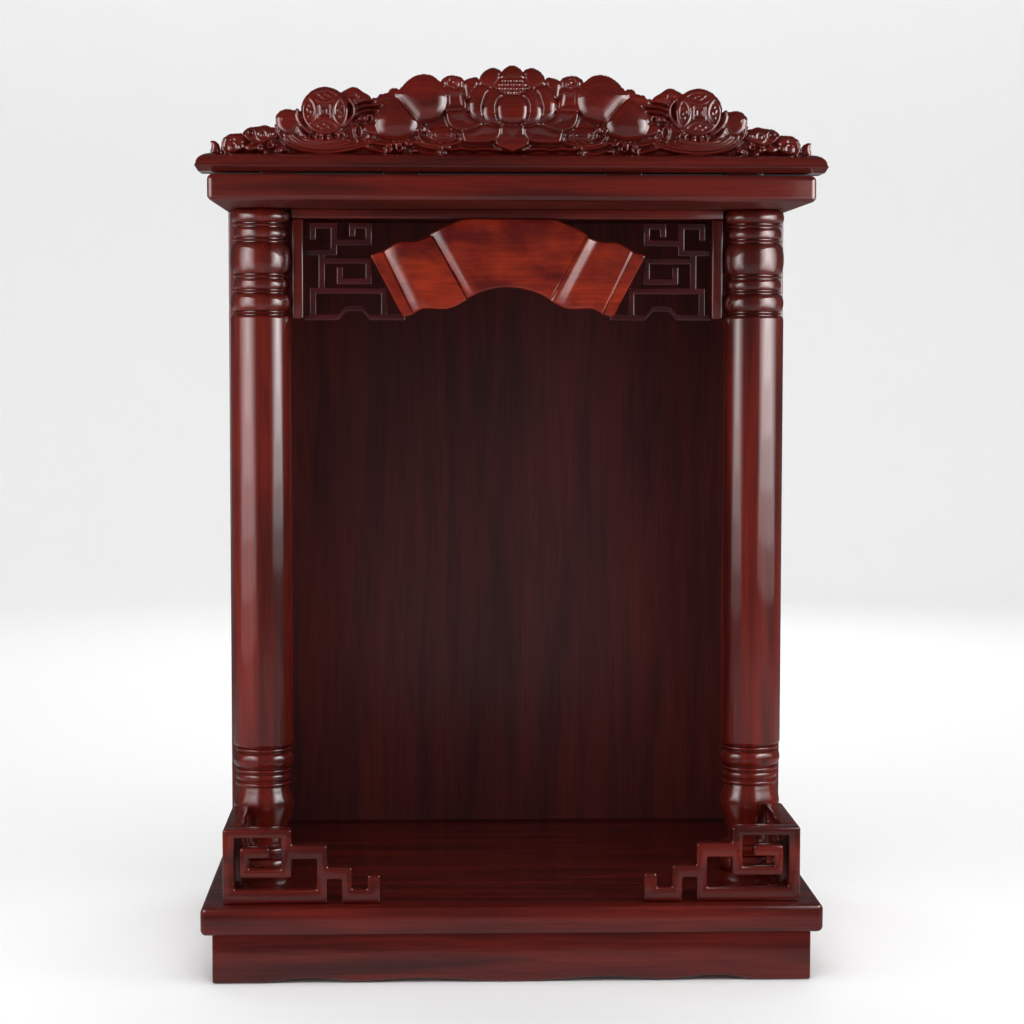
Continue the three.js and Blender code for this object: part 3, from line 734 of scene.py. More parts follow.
@dataclass(frozen=True)
class Fretwork:
    """The pierced fret in a top corner of the opening, keyed into the stile."""

    side: int
    bar: float = 5.0
    fit_gap: float = 0.3
    top_line: float = 5.5
    bump: tuple[float, float, float, float] = (28.0, 34.0, 47.5, 53.5)
    bump_rise: float = 7.3
    easing: float = 2.2

    @property
    def node(self) -> str:
        """The CAD node that the fret stands for."""
        return "fretwork_right" if self.side > 0 else "fretwork_left"

    def runs(self, foot: float, end: float) -> list[list[Point]]:
        """The centre lines of the bars, counted inwards from the stile and down from the rail.

        Args:
            foot: The centre line of the lowest bar.
            end: How far in the lowest bar reaches.

        Returns:
            Each run's corners.
        """
        post, inner, step, coil, hook, run, tail = 7.4, 14.6, 24.5, 29.2, 39.3, 52.6, 65.1
        top, arm, base = self.top_line, 27.1, 57.8
        stile = self.bar / 2 + self.fit_gap
        return [
            [(stile, arm), (step, arm), (step, top), (post, top), (post, 14.5)],
            [(step, 19), (run, 19), (run, top), (hook, top), (hook, 12)],
            [(inner, arm), (inner, base)],
            [(inner, 33.6), (run, 33.6), (run, 50.3), (coil, 50.3), (coil, 41)],
            [(post, foot), (post, base), (tail, base), (tail, foot)],
            [(stile, foot), (end, foot)],
        ]

    def build(self) -> bpy.types.Object:
        """Makes the fret.

        Returns:
            The piece.
        """
        place = Place.of(self.node)
        width, depth, height = place.size
        half = self.bar / 2
        # The CAD box runs from the stile's line inwards, and from the top bars down to the foot bar
        gap, drop = self.fit_gap, self.top_line - half
        foot = drop + height - half
        bars = [Bar(min(a[0], b[0]) - half, max(a[0], b[0]) + half,
                    min(a[1], b[1]) - half, max(a[1], b[1]) + half)
                for run in self.runs(foot, gap + width - half) for a, b in zip(run, run[1:])]
        bars += [Bar(a, b, foot - half, foot + half) for a, b in zip(self.bump, self.bump[1:])]
        outer = place.high[0] + gap if self.side > 0 else place.low[0] - gap

        def put(rows: np.ndarray) -> np.ndarray:
            """Lifts the bump in the foot bar and sets the bars in their place.

            Args:
                rows: Rows of (inwards, through, down) in millimetres.

            Returns:
                Rows of X, Y and Z in millimetres.
            """
            in_foot = rows[:, 2] > foot - half - 0.1
            rise = np.interp(rows[:, 0], self.bump, (0, 1, 1, 0)) * in_foot * self.bump_rise
            x = outer - self.side * rows[:, 0]
            return np.column_stack((x, place.low[1] + rows[:, 1], place.high[2] + drop - rows[:, 2] + rise))

        mesh = barwork(self.node, bars, depth, self.easing, put)
        # The fret's darker stain is partly painted shade from the crown above it
        return finish_piece(f"{self.node}_sawn", mesh, [self.node], FRET_LACQUER_WITH_PAINTED_SHADE, Grain.ACROSS)


@dataclass(frozen=True)
class Fence:
    """The key-fret fence round one front corner: a stepped front and a straight side."""

    side: int
    easing: float = 2.2
    post: float = 9.0
    top_rail: float = 6.8
    inner_bar: float = 7.0
    bar: float = 8.0
    foot_bar: float = 11.0
    coil_rail: float = 20.0
    coil_top: float = 43.7
    coil_under: float = 35.2

    @property
    def suffix(self) -> str:
        """Which side the fence is on."""
        return "right" if self.side > 0 else "left"

    def front_bars(self, top: float, end: float) -> list[Bar]:
        """The bars of the stepped front, from the outer corner inwards.

        Args:
            top: Height of the corner post.
            end: Length of the front.

        Returns:
            The bars.
        """
        link, second, third, hook = 45.0, 72.5, 91.5, end - 10.0
        coil, coil_end = 13.0, 36.3
        arm, stair, hook_top = (34.7, 45.7), (18.8, 28.3), 22.3
        return [
            Bar(0, self.post, 0, top),
            Bar(0, link + self.bar, top - self.top_rail, top),
            Bar(link, link + self.bar, self.coil_rail, top),
            Bar(coil, link + self.bar, self.coil_rail, self.coil_rail + self.inner_bar),
            Bar(coil, coil + self.inner_bar, self.coil_rail, self.coil_top),
            Bar(coil, coil_end, self.coil_under, self.coil_top),
            Bar(0, second + self.bar, 0, self.foot_bar),
            Bar(link, second + self.bar, *arm),
            Bar(second, second + self.bar, 0, arm[1]),
            Bar(second, third + self.bar, *stair),
            Bar(third, third + self.bar, 0, stair[1]),
            Bar(third, end, 0, self.foot_bar),
            Bar(hook, end, 0, hook_top),
        ]

    def side_bars(self, top: float, length: float) -> list[Bar]:
        """The bars of the straight side, from the front corner back to the column.

        Args:
            top: Height of the fence.
            length: Length of the side.

        Returns:
            The bars.
        """
        link, coil = length - 34.0, 16.0
        return [
            Bar(0, self.post, 0, top),
            Bar(length - self.post, length, 0, top),
            Bar(0, length, top - self.top_rail, top),
            Bar(0, length, 0, self.foot_bar),
            Bar(link, link + self.bar, self.coil_rail, top),
            Bar(coil, link + self.bar, self.coil_rail, self.coil_rail + self.inner_bar),
            Bar(coil, coil + self.inner_bar, self.coil_rail, self.coil_top),
            Bar(coil, link - self.bar, self.coil_under, self.coil_top),
            Bar(link, length, self.coil_under, self.coil_top),
        ]

    def build(self) -> list[bpy.types.Object]:
        """Makes the fence's front and side.

        Returns:
            The two pieces.
        """
        front, flank = Place.of(f"fence_front_{self.suffix}"), Place.of(f"fence_side_{self.suffix}")
        outer = front.high[0] if self.side > 0 else front.low[0]

        def put_front(rows: np.ndarray) -> np.ndarray:
            """Sets the front's bars in their place."""
            return np.column_stack((outer - self.side * rows[:, 0], front.low[1] + rows[:, 1],
                                    front.low[2] + rows[:, 2]))

        def put_side(rows: np.ndarray) -> np.ndarray:
            """Sets the side's bars in their place."""
            return np.column_stack((outer - self.side * rows[:, 1], flank.low[1] + rows[:, 0],
                                    flank.low[2] + rows[:, 2]))

        made = []
        for name, bars, depth, put, grain in (
            (f"fence_front_{self.suffix}", self.front_bars(front.size[2], front.size[0]), front.size[1],
             put_front, Grain.ACROSS),
            (f"fence_side_{self.suffix}", self.side_bars(flank.size[2], flank.size[1]), flank.size[0],
             put_side, Grain.INWARD),
        ):
            mesh = barwork(name, bars, depth, self.easing, put)
            made.append(finish_piece(f"{name}_sawn", mesh, [name], CASE_LACQUER, grain))
        return made


# Fan plaque


@dataclass(frozen=True)
class FanPlaque:
    """The fan-shaped plaque: three lapped leaves, the right one ridged, and a flat strip at each end."""

    node: str = "fan_plaque"
    outer_radius: float = 124.7
    inner_radius: float = 64.4
    half_angle: float = 30.8
    edge_thickness: float = 7.0
    swell: float = 5.0
    lap: float = 0.45
    lead: float = 0.45
    middle_lap: float = 0.92
    middle_lead: float = 0.11
    lap_step: float = 0.35
    ridge: float = 0.07
    ridge_foot: float = 0.74
    ridge_fall: float = 0.24
    ridge_drop: float = 0.62
    end_bevel: float = 0.22
    bevel_share: float = 0.05
    side_top: tuple[Point, ...] = ((62.4, 106), (74.5, 101.7), (88.4, 100.7), (100.9, 93.7))
    side_foot: tuple[Point, ...] = ((33.9, 54), (47.8, 47.4), (67.3, 47.4), (76.4, 43))
    strip_top: Point = (111.2, 90.4)
    strip_foot: Point = (84.6, 40.4)
    strip_rise: float = 1.1
    edge_round: float = 1.8

    def leaf(self, share: float, lead: float, lap: float) -> float:
        """How thick a leaf is: it swells at its left edge and then runs down to the next leaf.

        Args:
            share: Place across the leaf, from 0 at its left to 1 at its right.
            lead: Share of its width that the swelling takes.
            lap: Share of the swelling that is left at its right edge.

        Returns:
            The thickness in millimetres.
        """
        if share < lead:
            return self.edge_thickness + self.swell * (1 - (1 - share / lead) ** 2)
        return self.edge_thickness + self.swell * (1 - (1 - lap) * ((share - lead) / (1 - lead)) ** 1.2)

    def ridged_leaf(self, share: float) -> float:
        """How thick the right leaf is: it has a ridge near its left edge.

        Args:
            share: Place across the leaf, from 0 at its left to 1 at its right.

        Returns:
            The thickness in millimetres.
        """
        if share < self.ridge:
            rise = self.ridge_foot + (1 - self.ridge_foot) * share / self.ridge
        else:
            fall = min(1.0, (share - self.ridge) / self.ridge_fall)
            bevel = max(0.0, share - (1 - self.bevel_share)) / self.bevel_share
            rise = 1 - self.ridge_drop * fall**2 * (3 - 2 * fall) - self.end_bevel * bevel
        return self.edge_thickness + self.swell * rise

    def stations(self, limit: float) -> list[tuple[Point, Point, float]]:
        """Sections across the plaque, from left to right.

        Args:
            limit: Height of the rail over the fan's centre, which cuts the middle leaf.

        Returns:
            Each section's top point, foot point and thickness.
        """
        rows: list[tuple[Point, Point, float]] = []
        shares = [(1 - math.cos(math.pi * i / 32)) / 2 for i in range(33)]
        # Each end strip stands a little proud between its two low edges
        strip = [(t, self.edge_thickness + (self.strip_rise if 0.1 < t < 0.95 else 0.0))
                 for t in (0.02, 0.12, 0.5, 0.88, 1.0)]

        def strip_at(side: int, t: float, thick: float) -> None:
            """Adds a section of the strip at one end.

            Args:
                side: -1 for the left end, 1 for the right.
                t: Place across the strip, from 0 at the leaf to 1 at the end.
                thick: The thickness there.
            """
            top, foot = (tuple(a + (b - a) * t for a, b in zip(start, end)) for start, end in (
                (self.side_top[-1], self.strip_top), (self.side_foot[-1], self.strip_foot)))
            rows.append(((side * top[0], top[1]), (side * foot[0], foot[1]), thick))

        for t, thick in reversed(strip):
            strip_at(-1, t, thick)
        for side in (-1, 0, 1):
            for share in shares:
                if side:
                    t = share if side > 0 else 1 - share
                    top, foot = through(self.side_top, t), through(self.side_foot, t)
                    thick = self.ridged_leaf(share) if side > 0 else self.leaf(share, self.lead, self.lap)
                    rows.append(((side * top[0], top[1]), (side * foot[0], foot[1]), thick))
                else:
                    angle = math.radians(self.half_angle) * (2 * share - 1)
                    reach = min(self.outer_radius, limit / math.cos(angle))
                    rows.append(((reach * math.sin(angle), reach * math.cos(angle)),
                                 (self.inner_radius * math.sin(angle), self.inner_radius * math.cos(angle)),
                                 self.leaf(share, self.middle_lead, self.middle_lap)))
        for t, thick in strip:
            strip_at(1, t, thick)
        return rows

    def build(self) -> bpy.types.Object:
        """Makes the plaque.

        Returns:
            The piece.
        """
        place = Place.of(self.node)
        centre_z = place.low[2] - self.strip_foot[1]
        back = place.high[1]
        rings = []
        for top, foot, depth in self.stations(place.high[2] - centre_z):
            top_v, foot_v = np.array(top), np.array(foot)
            length = float(np.linalg.norm(foot_v - top_v))
            rounded = [(self.edge_round * (1 - math.cos(a)), depth - self.edge_round * (1 - math.sin(a)))
                       for a in np.linspace(0, math.pi / 2, 5)]
            rows = [(0.0, 0.0), *rounded, *((length * t, depth) for t in (0.2, 0.5, 0.8)),
                    *((length - down, out) for down, out in reversed(rounded)), (length, 0.0)]
            along = [(top_v + (foot_v - top_v) * down / length, out) for down, out in rows]
            rings.append(np.array([(p[0], back - out, centre_z + p[1]) for p, out in along]))
        # Where one leaf ends over the next, the next one starts a hair further on
        for i in range(1, len(rings)):
            if np.allclose(rings[i][0], rings[i - 1][0], atol=0.05):
                rings[i] = rings[i] + np.array([self.lap_step, 0.0, 0.0])
        mesh = loft(self.node, rings)
        with edited(mesh) as shape:
            bmesh.ops.recalc_face_normals(shape, faces=shape.faces)
        return finish_piece("fan_plaque_carved", mesh, [self.node], FAN_LACQUER, Grain.ACROSS, crease=40.0)


def through(points: Sequence[Point], t: float) -> Point:
    """A point on a smooth curve through given points.

    Args:
        points: The points, evenly spaced along the curve.
        t: Place along it, from 0 to 1.

    Returns:
        The point.
    """
    last = len(points) - 1
    i = min(int(t * last), last - 1)
    s = t * last - i
    near = [points[max(0, min(last, i + k))] for k in (-1, 0, 1, 2)]
    return tuple(0.5 * (2 * b + (c - a) * s + (2 * a - 5 * b + 4 * c - d) * s**2
                        + (3 * b - a - 3 * c + d) * s**3) for a, b, c, d in zip(*near))


# Crest carving


class Relief:
    """A carved board seen from its front: an outline, and the height of its face over its back."""

    def __init__(self, half_span: float, top: float, pitch: float) -> None:
        """Lays out the board's grid.

        Args:
            half_span: Half of the board's width in millimetres.
            top: The board's height.
            pitch: Size of a grid cell.
        """
        columns = 2 * math.ceil(half_span / pitch) + 1
        self.across = np.linspace(-half_span, half_span, columns)
        self.up = np.linspace(0, top, math.ceil(top / pitch) + 1)
        self.out, self.rise = np.meshgrid(np.abs(self.across), self.up)
        no_wood = 50.0
        self.edge = np.full(self.out.shape, no_wood)
        self.height = np.zeros(self.out.shape)

    def local(self, across: float, up: float, lean: float = 0.0) -> tuple[np.ndarray, np.ndarray]:
        """Coordinates round a point, turned outwards by an angle.

        Args:
            across: The point's distance from the middle.
            up: The point's height.
            lean: Angle in degrees that its upright axis leans outwards.

        Returns:
            Distances out along the turned level axis and up along the turned upright axis.
        """
        a = math.radians(lean)
        x, z = self.out - across, self.rise - up
        return x * math.cos(a) - z * math.sin(a), x * math.sin(a) + z * math.cos(a)

    def lay(self, distance: np.ndarray, height: np.ndarray) -> None:
        """Adds a form: wood where distance is below zero, up to the height given.

        Args:
            distance: Distance from the form's edge, below zero inside.
            height: The form's height over the back.
        """
        self.edge = np.minimum(self.edge, distance)
        self.height = np.where(distance < 0, np.maximum(self.height, height), self.height)

    def outline(self, points: Sequence[Point], height: float) -> None:
        """Adds a flat ground with a polygon's outline.

        Args:
            points: The polygon's corners, in order.
            height: Its height.
        """
        distance = polygon_distance(self.out, self.rise, points)
        self.lay(distance, np.full_like(self.out, height))

    def form(self, points: Sequence[Point], base: float, stand: float, roll: float, hollow: float = 0.0,
             fall: float = 6.0, over: bool = True, ease: int = 0) -> None:
        """Adds a form with a smooth closed outline: a cushion, or a petal hollowed inside a rounded lip.

        Args:
            points: Points on its outline, in order.
            base: Height of its edge over the back.
            stand: How much it rises from its edge.
            roll: How far in from the edge it goes on rising.
            hollow: How deep its middle is sunk again.
            fall: How far in from the lip it goes on sinking.
            over: Whether it hides what lies under it, or joins it.
            ease: How often its face is evened out by itself.
        """
        distance = polygon_distance(self.out, self.rise, smooth_loop(points))
        rise = stand * np.sqrt(1 - (1 - np.clip(-distance / roll, 0, 1)) ** 2)
        sunk = hollow * smooth_step(-distance, roll * 0.7, roll * 0.7 + fall)
        height = evened(base + rise - sunk, distance < 0, ease)
        if over:
            self.edge = np.minimum(self.edge, distance)
            self.height = np.where(distance < 0, height, self.height)
        else:
            self.lay(distance, height)

    def dome(self, across: float, up: float, wide: float, tall: float, lean: float, base: float,
             stand: float, full: float = 2.0) -> None:
        """Adds a swelling form, round or oval.

        Args:
            across: Its centre's distance from the middle.
            up: Its centre's height.
            wide: Half its width.
            tall: Half its height.
            lean: Lean outwards in degrees.
            base: Height of its rim over the back.
            stand: How much it swells over its rim.
            full: 2 for a half ball, more for a flatter top.
        """
        x, z = self.local(across, up, lean)
        reach = np.hypot(x / wide, z / tall)
        swell = np.sqrt(np.clip(1 - np.clip(reach, 0, 1) ** full, 0, 1))
        self.lay((reach - 1) * min(wide, tall), base + stand * swell)

    def band(self, distance: np.ndarray, half_width: float, base: float, stand: float) -> None:
        """Adds a rounded ridge along a line.

        Args:
            distance: Distance from the line.
            half_width: Half the ridge's width.
            base: Height of its foot over the back.
            stand: Height of its top over its foot.
        """
        swell = np.sqrt(np.clip(1 - (distance / half_width) ** 2, 0, 1))
        self.lay(distance - half_width, base + stand * swell)

    def ridge(self, points: Sequence[Point], half_width: float, base: float, stand: float) -> None:
        """Adds a rounded ridge along a smooth line through points.

        Args:
            points: Points on the line.
            half_width: Half the ridge's width.
            base: Height of its foot.
            stand: Height over its foot.
        """
        self.band(line_distance(self.out, self.rise, smooth_line(points)), half_width, base, stand)

    def groove(self, points: Sequence[Point], half_width: float, depth: float) -> None:
        """Cuts a rounded groove along a smooth line through points.

        Args:
            points: Points on the line.
            half_width: Half the groove's width.
            depth: Its depth.
        """
        distance = line_distance(self.out, self.rise, smooth_line(points))
        self.height = self.height - depth * np.sqrt(np.clip(1 - (distance / half_width) ** 2, 0, 1))

    def soften(self, passes: int) -> None:
        """Evens out the face a little, as sanding and the thick lacquer do.

        Args:
            passes: How often to do it.
        """
        self.height = evened(self.height, self.edge < 0, passes)

    def mesh(self, name: str, place: Callable[[np.ndarray], np.ndarray]) -> bpy.types.Mesh:
        """Makes a closed mesh: the carved face, a flat back, and walls round the outline.

        Args:
            name: The mesh's name.
            place: Turns rows of (across, height over the back, up) into X, Y and Z in millimetres.

        Returns:
            The mesh.
        """
        faces, corners, rim = trace(self.across, self.up, self.edge, self.height)
        count = len(corners)
        back = {number: count + i for i, number in enumerate(dict.fromkeys(n for pair in rim for n in pair))}
        rows = np.concatenate((corners, [(corners[n][0], 0.0, corners[n][2]) for n in back]))
        walls = [[b, a, back[a], back[b]] for a, b in rim]
        loops = joined_loops(rim)
        backs = [[back[n] for n in reversed(loop)] for loop in loops]
        mesh = mesh_of(name, place(rows), [*faces, *walls, *backs])
        with edited(mesh) as shape:
            bmesh.ops.recalc_face_normals(shape, faces=shape.faces)
            flat = [face for face in shape.faces if len(face.verts) > 4]
            bmesh.ops.triangulate(shape, faces=flat)
        return mesh


def evened(height: np.ndarray, inside: np.ndarray, passes: int) -> np.ndarray:
    """Evens out a height field inside an area.

    Args:
        height: The heights.
        inside: Where they count.
        passes: How often each height is drawn towards its neighbours.

    Returns:
        The evened heights.
    """
    for _ in range(passes):
        total, weight = 2.0 * height * inside, 2.0 * inside
        for axis in (0, 1):
            for step in (-1, 1):
                shared = np.roll(inside, step, axis)
                total = total + np.roll(height, step, axis) * shared
                weight = weight + shared
        height = np.where(inside, total / np.maximum(weight, 1), height)
    return height


def polygon_distance(x: np.ndarray, z: np.ndarray, points: Sequence[Point]) -> np.ndarray:
    """Distance from a polygon's edge, below zero inside.

    Args:
        x: Places across.
        z: Places up.
        points: The polygon's corners, in order.

    Returns:
        The distances.
    """
    far = np.full(x.shape, 1e9)
    inside = np.zeros(x.shape, dtype=bool)
    for (x0, z0), (x1, z1) in zip(points, [*points[1:], points[0]]):
        dx, dz = x1 - x0, z1 - z0
        t = np.clip(((x - x0) * dx + (z - z0) * dz) / (dx * dx + dz * dz), 0, 1)
        far = np.minimum(far, np.hypot(x - x0 - t * dx, z - z0 - t * dz))
        if dz:
            crossing = ((z0 > z) != (z1 > z)) & (x < dx * (z - z0) / dz + x0)
            inside ^= crossing
    return np.where(inside, -far, far)


def line_distance(x: np.ndarray, z: np.ndarray, points: Sequence[Point]) -> np.ndarray:
    """Distance from a line of straight steps.

    Args:
        x: Places across.
        z: Places up.
        points: The line's points.

    Returns:
        The distances.
    """
    far = np.full(x.shape, 1e9)
    for (x0, z0), (x1, z1) in zip(points, points[1:]):
        dx, dz = x1 - x0, z1 - z0
        t = np.clip(((x - x0) * dx + (z - z0) * dz) / max(dx * dx + dz * dz, 1e-9), 0, 1)
        far = np.minimum(far, np.hypot(x - x0 - t * dx, z - z0 - t * dz))
    return far


def smooth_line(points: Sequence[Point], steps: int = 6) -> list[Point]:
    """A smooth line through given points, as short straight steps.

    Args:
        points: The points.
        steps: Steps between two of them.

    Returns:
        The line's points.
    """
    if len(points) < 3:
        return list(points)
    count = (len(points) - 1) * steps
    return [through(points, i / count) for i in range(count + 1)]


def smooth_loop(points: Sequence[Point], steps: int = 6) -> list[Point]:
    """A smooth closed line through given points, as short straight steps.

    Args:
        points: The points, in order.
        steps: Steps between two of them.

    Returns:
        The line's points, without the first one again at the end.
    """
    count = len(points)
    wrapped = [points[-1], *points, points[0], points[1]]
    line = []
    for i in range(count):
        for k in range(steps):
            line.append(through(wrapped[i : i + 4], (1 + k / steps) / 3))
    return line


def coil(across: float, up: float, radius: float, turns: float, start: float, way: int = 1,
         inner: float = 0.25) -> list[Point]:
    """The line of a curl that winds inwards.

    Args:
        across: Its centre's distance from the middle.
        up: Its centre's height.
        radius: Its outer radius.
        turns: How many turns it makes.
        start: Where its outer end is, in degrees, 0 outwards and 90 up.
        way: 1 to wind anticlockwise, -1 clockwise.
        inner: Its inner radius as a share of its outer one.

    Returns:
        The line's points.
    """
    count = max(4, round(turns * 10))
    rows = []
    for i in range(count + 1):
        t = i / count
        r = radius * (1 - (1 - inner) * t)
        a = math.radians(start) + way * 2 * math.pi * turns * t
        rows.append((across + r * math.cos(a), up + r * math.sin(a)))
    return rows


def trace(across: np.ndarray, up: np.ndarray, edge: np.ndarray,
          height: np.ndarray) -> tuple[list[list[int]], np.ndarray, list[tuple[int, int]]]:
    """Cuts a grid along an outline.

    Args:
        across: Places of the grid's columns.
        up: Places of its rows.
        edge: Distance from the outline at each grid point, below zero inside.
        height: The face's height there.

    Returns:
        The faces, the corners as (across, height, up), and the pairs of corners along the rim.
    """
    # Grid points close to the outline count as just inside it, so that no sliver faces arise
    pitch = across[1] - across[0]
    snap, just_inside = 0.22, -1e-4
    edge = np.where(np.abs(edge) < snap * pitch, just_inside, edge)
    inside = edge < 0
    corners: list[tuple[float, float, float]] = []
    numbers: dict[object, int] = {}

    def at_point(i: int, k: int) -> int:
        """The number of the corner at a grid point.

        Args:
            i: The point's row.
            k: Its column.

        Returns:
            The number.
        """
        if (i, k) not in numbers:
            numbers[i, k] = len(corners)
            corners.append((across[k], height[i, k], up[i]))
        return numbers[i, k]

    def at_cut(a: tuple[int, int], b: tuple[int, int]) -> int:
        """The number of the corner where the outline cuts the line between two grid points.

        Args:
            a: Row and column of one point.
            b: Row and column of the other.

        Returns:
            The number.
        """
        key = (min(a, b), max(a, b))
        if key not in numbers:
            kept, lost = (a, b) if inside[a] else (b, a)
            t = edge[kept] / (edge[kept] - edge[lost])
            numbers[key] = len(corners)
            corners.append((across[kept[1]] + t * (across[lost[1]] - across[kept[1]]), height[kept],
                            up[kept[0]] + t * (up[lost[0]] - up[kept[0]])))
        return numbers[key]

    faces: list[list[int]] = []
    rows, columns = edge.shape
    some = inside[:-1, :-1] | inside[1:, :-1] | inside[:-1, 1:] | inside[1:, 1:]
    for i, k in zip(*np.nonzero(some)):
        ring = [(i, k), (i, k + 1), (i + 1, k + 1), (i + 1, k)]
        face: list[int] = []
        for a, b in zip(ring, [*ring[1:], ring[0]]):
            if inside[a]:
                face.append(at_point(*a))
            if inside[a] != inside[b]:
                face.append(at_cut(a, b))
        face = list(dict.fromkeys(face))
        if len(face) > 2:
            faces.append(face)
    # A side of a face that no other face runs along the opposite way lies on the rim
    sides = dict.fromkeys((a, b) for face in faces for a, b in zip(face, [*face[1:], face[0]]))
    rim = [(a, b) for a, b in sides if (b, a) not in sides]
    return faces, np.array(corners), rim


def joined_loops(pairs: Sequence[tuple[int, int]]) -> list[list[int]]:
    """Joins pairs of corners into closed loops.

    Args:
        pairs: The pairs, each leading on to the next.

    Returns:
        The loops.
    """
    after = dict(pairs)
    loops = []
    while after:
        start = next(iter(after))
        loop, here = [], start
        while here in after:
            loop.append(here)
            here = after.pop(here)
        loops.append(loop)
    return loops


@dataclass(frozen=True)
class CrestCarving:
    """The crest: a lotus between peaches, coins on boat-shaped ingots, and scrolls, carved from one board."""

    node: str = "crest_carving"
    drawn_half_span: float = 230.0
    drawn_top: float = 67.4
    pitch: float = 0.5
    ground: float = 8.6
    thinnest: float = 0.8

    def lay_ground(self, work: Relief) -> None:
        """Saws the board's outline and lays the ground between the motifs.

        Args:
            work: The relief that it is carved in.
        """
        work.outline([(0, 0), (0, 62), (14, 61), (25, 55.6), (40, 56), (52, 54.5), (60, 50), (75, 54),
                      (86, 47.5), (97, 43.5), (103.5, 41.4), (108.4, 41.9), (117.6, 47.6), (131, 45),
                      (142, 46), (156, 40), (162, 31), (172, 31), (177, 27), (180.6, 18.6), (190, 19),
                      (200, 18), (206, 12.4), (213, 12), (218, 7), (222, 0)], self.ground)

    def carve_lotus(self, work: Relief) -> None:
        """Carves the lotus in the middle, from the back petals to the front ones.

        Args:
            work: The relief that it is carved in.
        """
        work.form([(37.8, 50), (37, 55.2), (32, 57.6), (26, 57.6), (25, 50), (30, 42), (36, 42)], 9.6, 4.2,
                  5.6)
        work.form([(25.6, 51.6), (25, 57.3), (22, 62), (17.2, 64.9), (12, 64.8), (8.5, 62), (8, 50),
                   (17, 47)], 10.4, 4.4, 6.0)
        work.form([(-9.2, 56), (-8.9, 61.5), (-4.4, 65.8), (0, 67.4), (4.4, 65.8), (8.9, 61.5), (9.2, 56),
                   (0, 50)], 10.9, 4.4, 6.5)
        work.form([(25.4, 52), (30.5, 47.5), (33.7, 40.5), (34.2, 35.7), (32.8, 30.4), (29.6, 26),
                   (24.4, 23.6), (15, 22), (13, 40), (18, 51)], 11.2, 6.0, 8.4)
        work.form([(14, 50), (20, 45), (22.7, 37.6), (23.5, 32.8), (22.8, 27.6), (20, 23.4), (15.4, 21.2),
                   (4, 22), (2, 44)], 12.8, 5.6, 7.6)
        # Seed pod: a shallow disc tipped forwards, with rows of seeds
        work.form([(-13.8, 52), (-11.6, 46.4), (0, 43.6), (11.6, 46.4), (13.8, 52), (9, 56.6), (0, 58.2),
                   (-9, 56.6)], 13.2, 2.4, 6.0)
        for up, count in ((46.2, 3), (49.3, 6), (52.4, 5), (55.4, 4)):
            for i in range(count):
                across = (i - (count - 1) / 2) * 4.4
                if across >= 0:
                    work.dome(across, up, 1.6, 1.3, 0, 14.6, 2.4)
        work.form([(-12.2, 38), (-12.6, 31), (-10.6, 24.6), (-5, 21.9), (0, 21.5), (5, 21.9), (10.6, 24.6),
                   (12.6, 31), (12.2, 38), (8, 43.6), (0, 45), (-8, 43.6)], 13.8, 5.6, 6.4)
        work.form([(50.6, 32), (50.6, 26), (48.2, 21), (43.6, 17.6), (38, 16.9), (31.2, 17.9), (25, 20.6),
                   (21.6, 23.6), (27, 25), (31, 28), (35.4, 33), (43, 32.6)], 11.6, 4.0, 2.2, hollow=2.6,
                  fall=11.0)
        work.form([(34.1, 33), (33.8, 36), (33, 31), (29.7, 26.4), (25, 24), (18, 22.4), (20, 30), (28, 38)],
                  12.6, 4.6, 8.0, over=False)
        work.form([(38.8, 17.4), (38, 10.7), (36, 8), (24.4, 7.6), (15, 8.6), (9.6, 12.4), (7.6, 17.6),
                   (8, 20.8), (14, 21.2), (20, 22.6), (26, 20.6), (32, 17.6)], 12.6, 4.2, 2.2, hollow=2.6,
                  fall=10.0)
        work.form([(-8.4, 21.4), (0, 21.8), (8.4, 21.4), (9.6, 14.6), (13.6, 8.2), (9.8, 4.8), (4, 2.6),
                   (0, 0.6), (-4, 2.6), (-9.8, 4.8), (-13.6, 8.2), (-9.6, 14.6)], 12.8, 3.8, 2.0, hollow=1.8,
                  fall=11.0)

    def carve_peaches(self, work: Relief) -> None:
        """Carves the two peaches on each side.

        Args:
            work: The relief that it is carved in.
        """
        work.form([(91.4, 42.6), (97.6, 38), (101.8, 33.8), (104.4, 28.4), (105.4, 23.2), (104.8, 18.2),
                   (101.1, 13), (95.6, 10.7), (87.5, 9.8), (80.3, 11.4), (75, 14.4), (72.2, 19.4), (71, 26),
                   (76, 36), (84, 43)], 10.2, 7.8, 15.5, ease=14)
        work.form([(84.8, 49.9), (80.3, 54.7), (74.4, 58.6), (68.2, 60.1), (61.7, 59.2), (56.6, 56),
                   (52.2, 51.4), (49.6, 45.4), (49.3, 39), (51, 33), (54.6, 28), (60.8, 24.3), (67.6, 22.9),
                   (72, 23.2), (76.6, 28.4), (82, 34.8), (88.4, 42.4), (88, 46.8)], 11.4, 8.4, 17.5, ease=14)

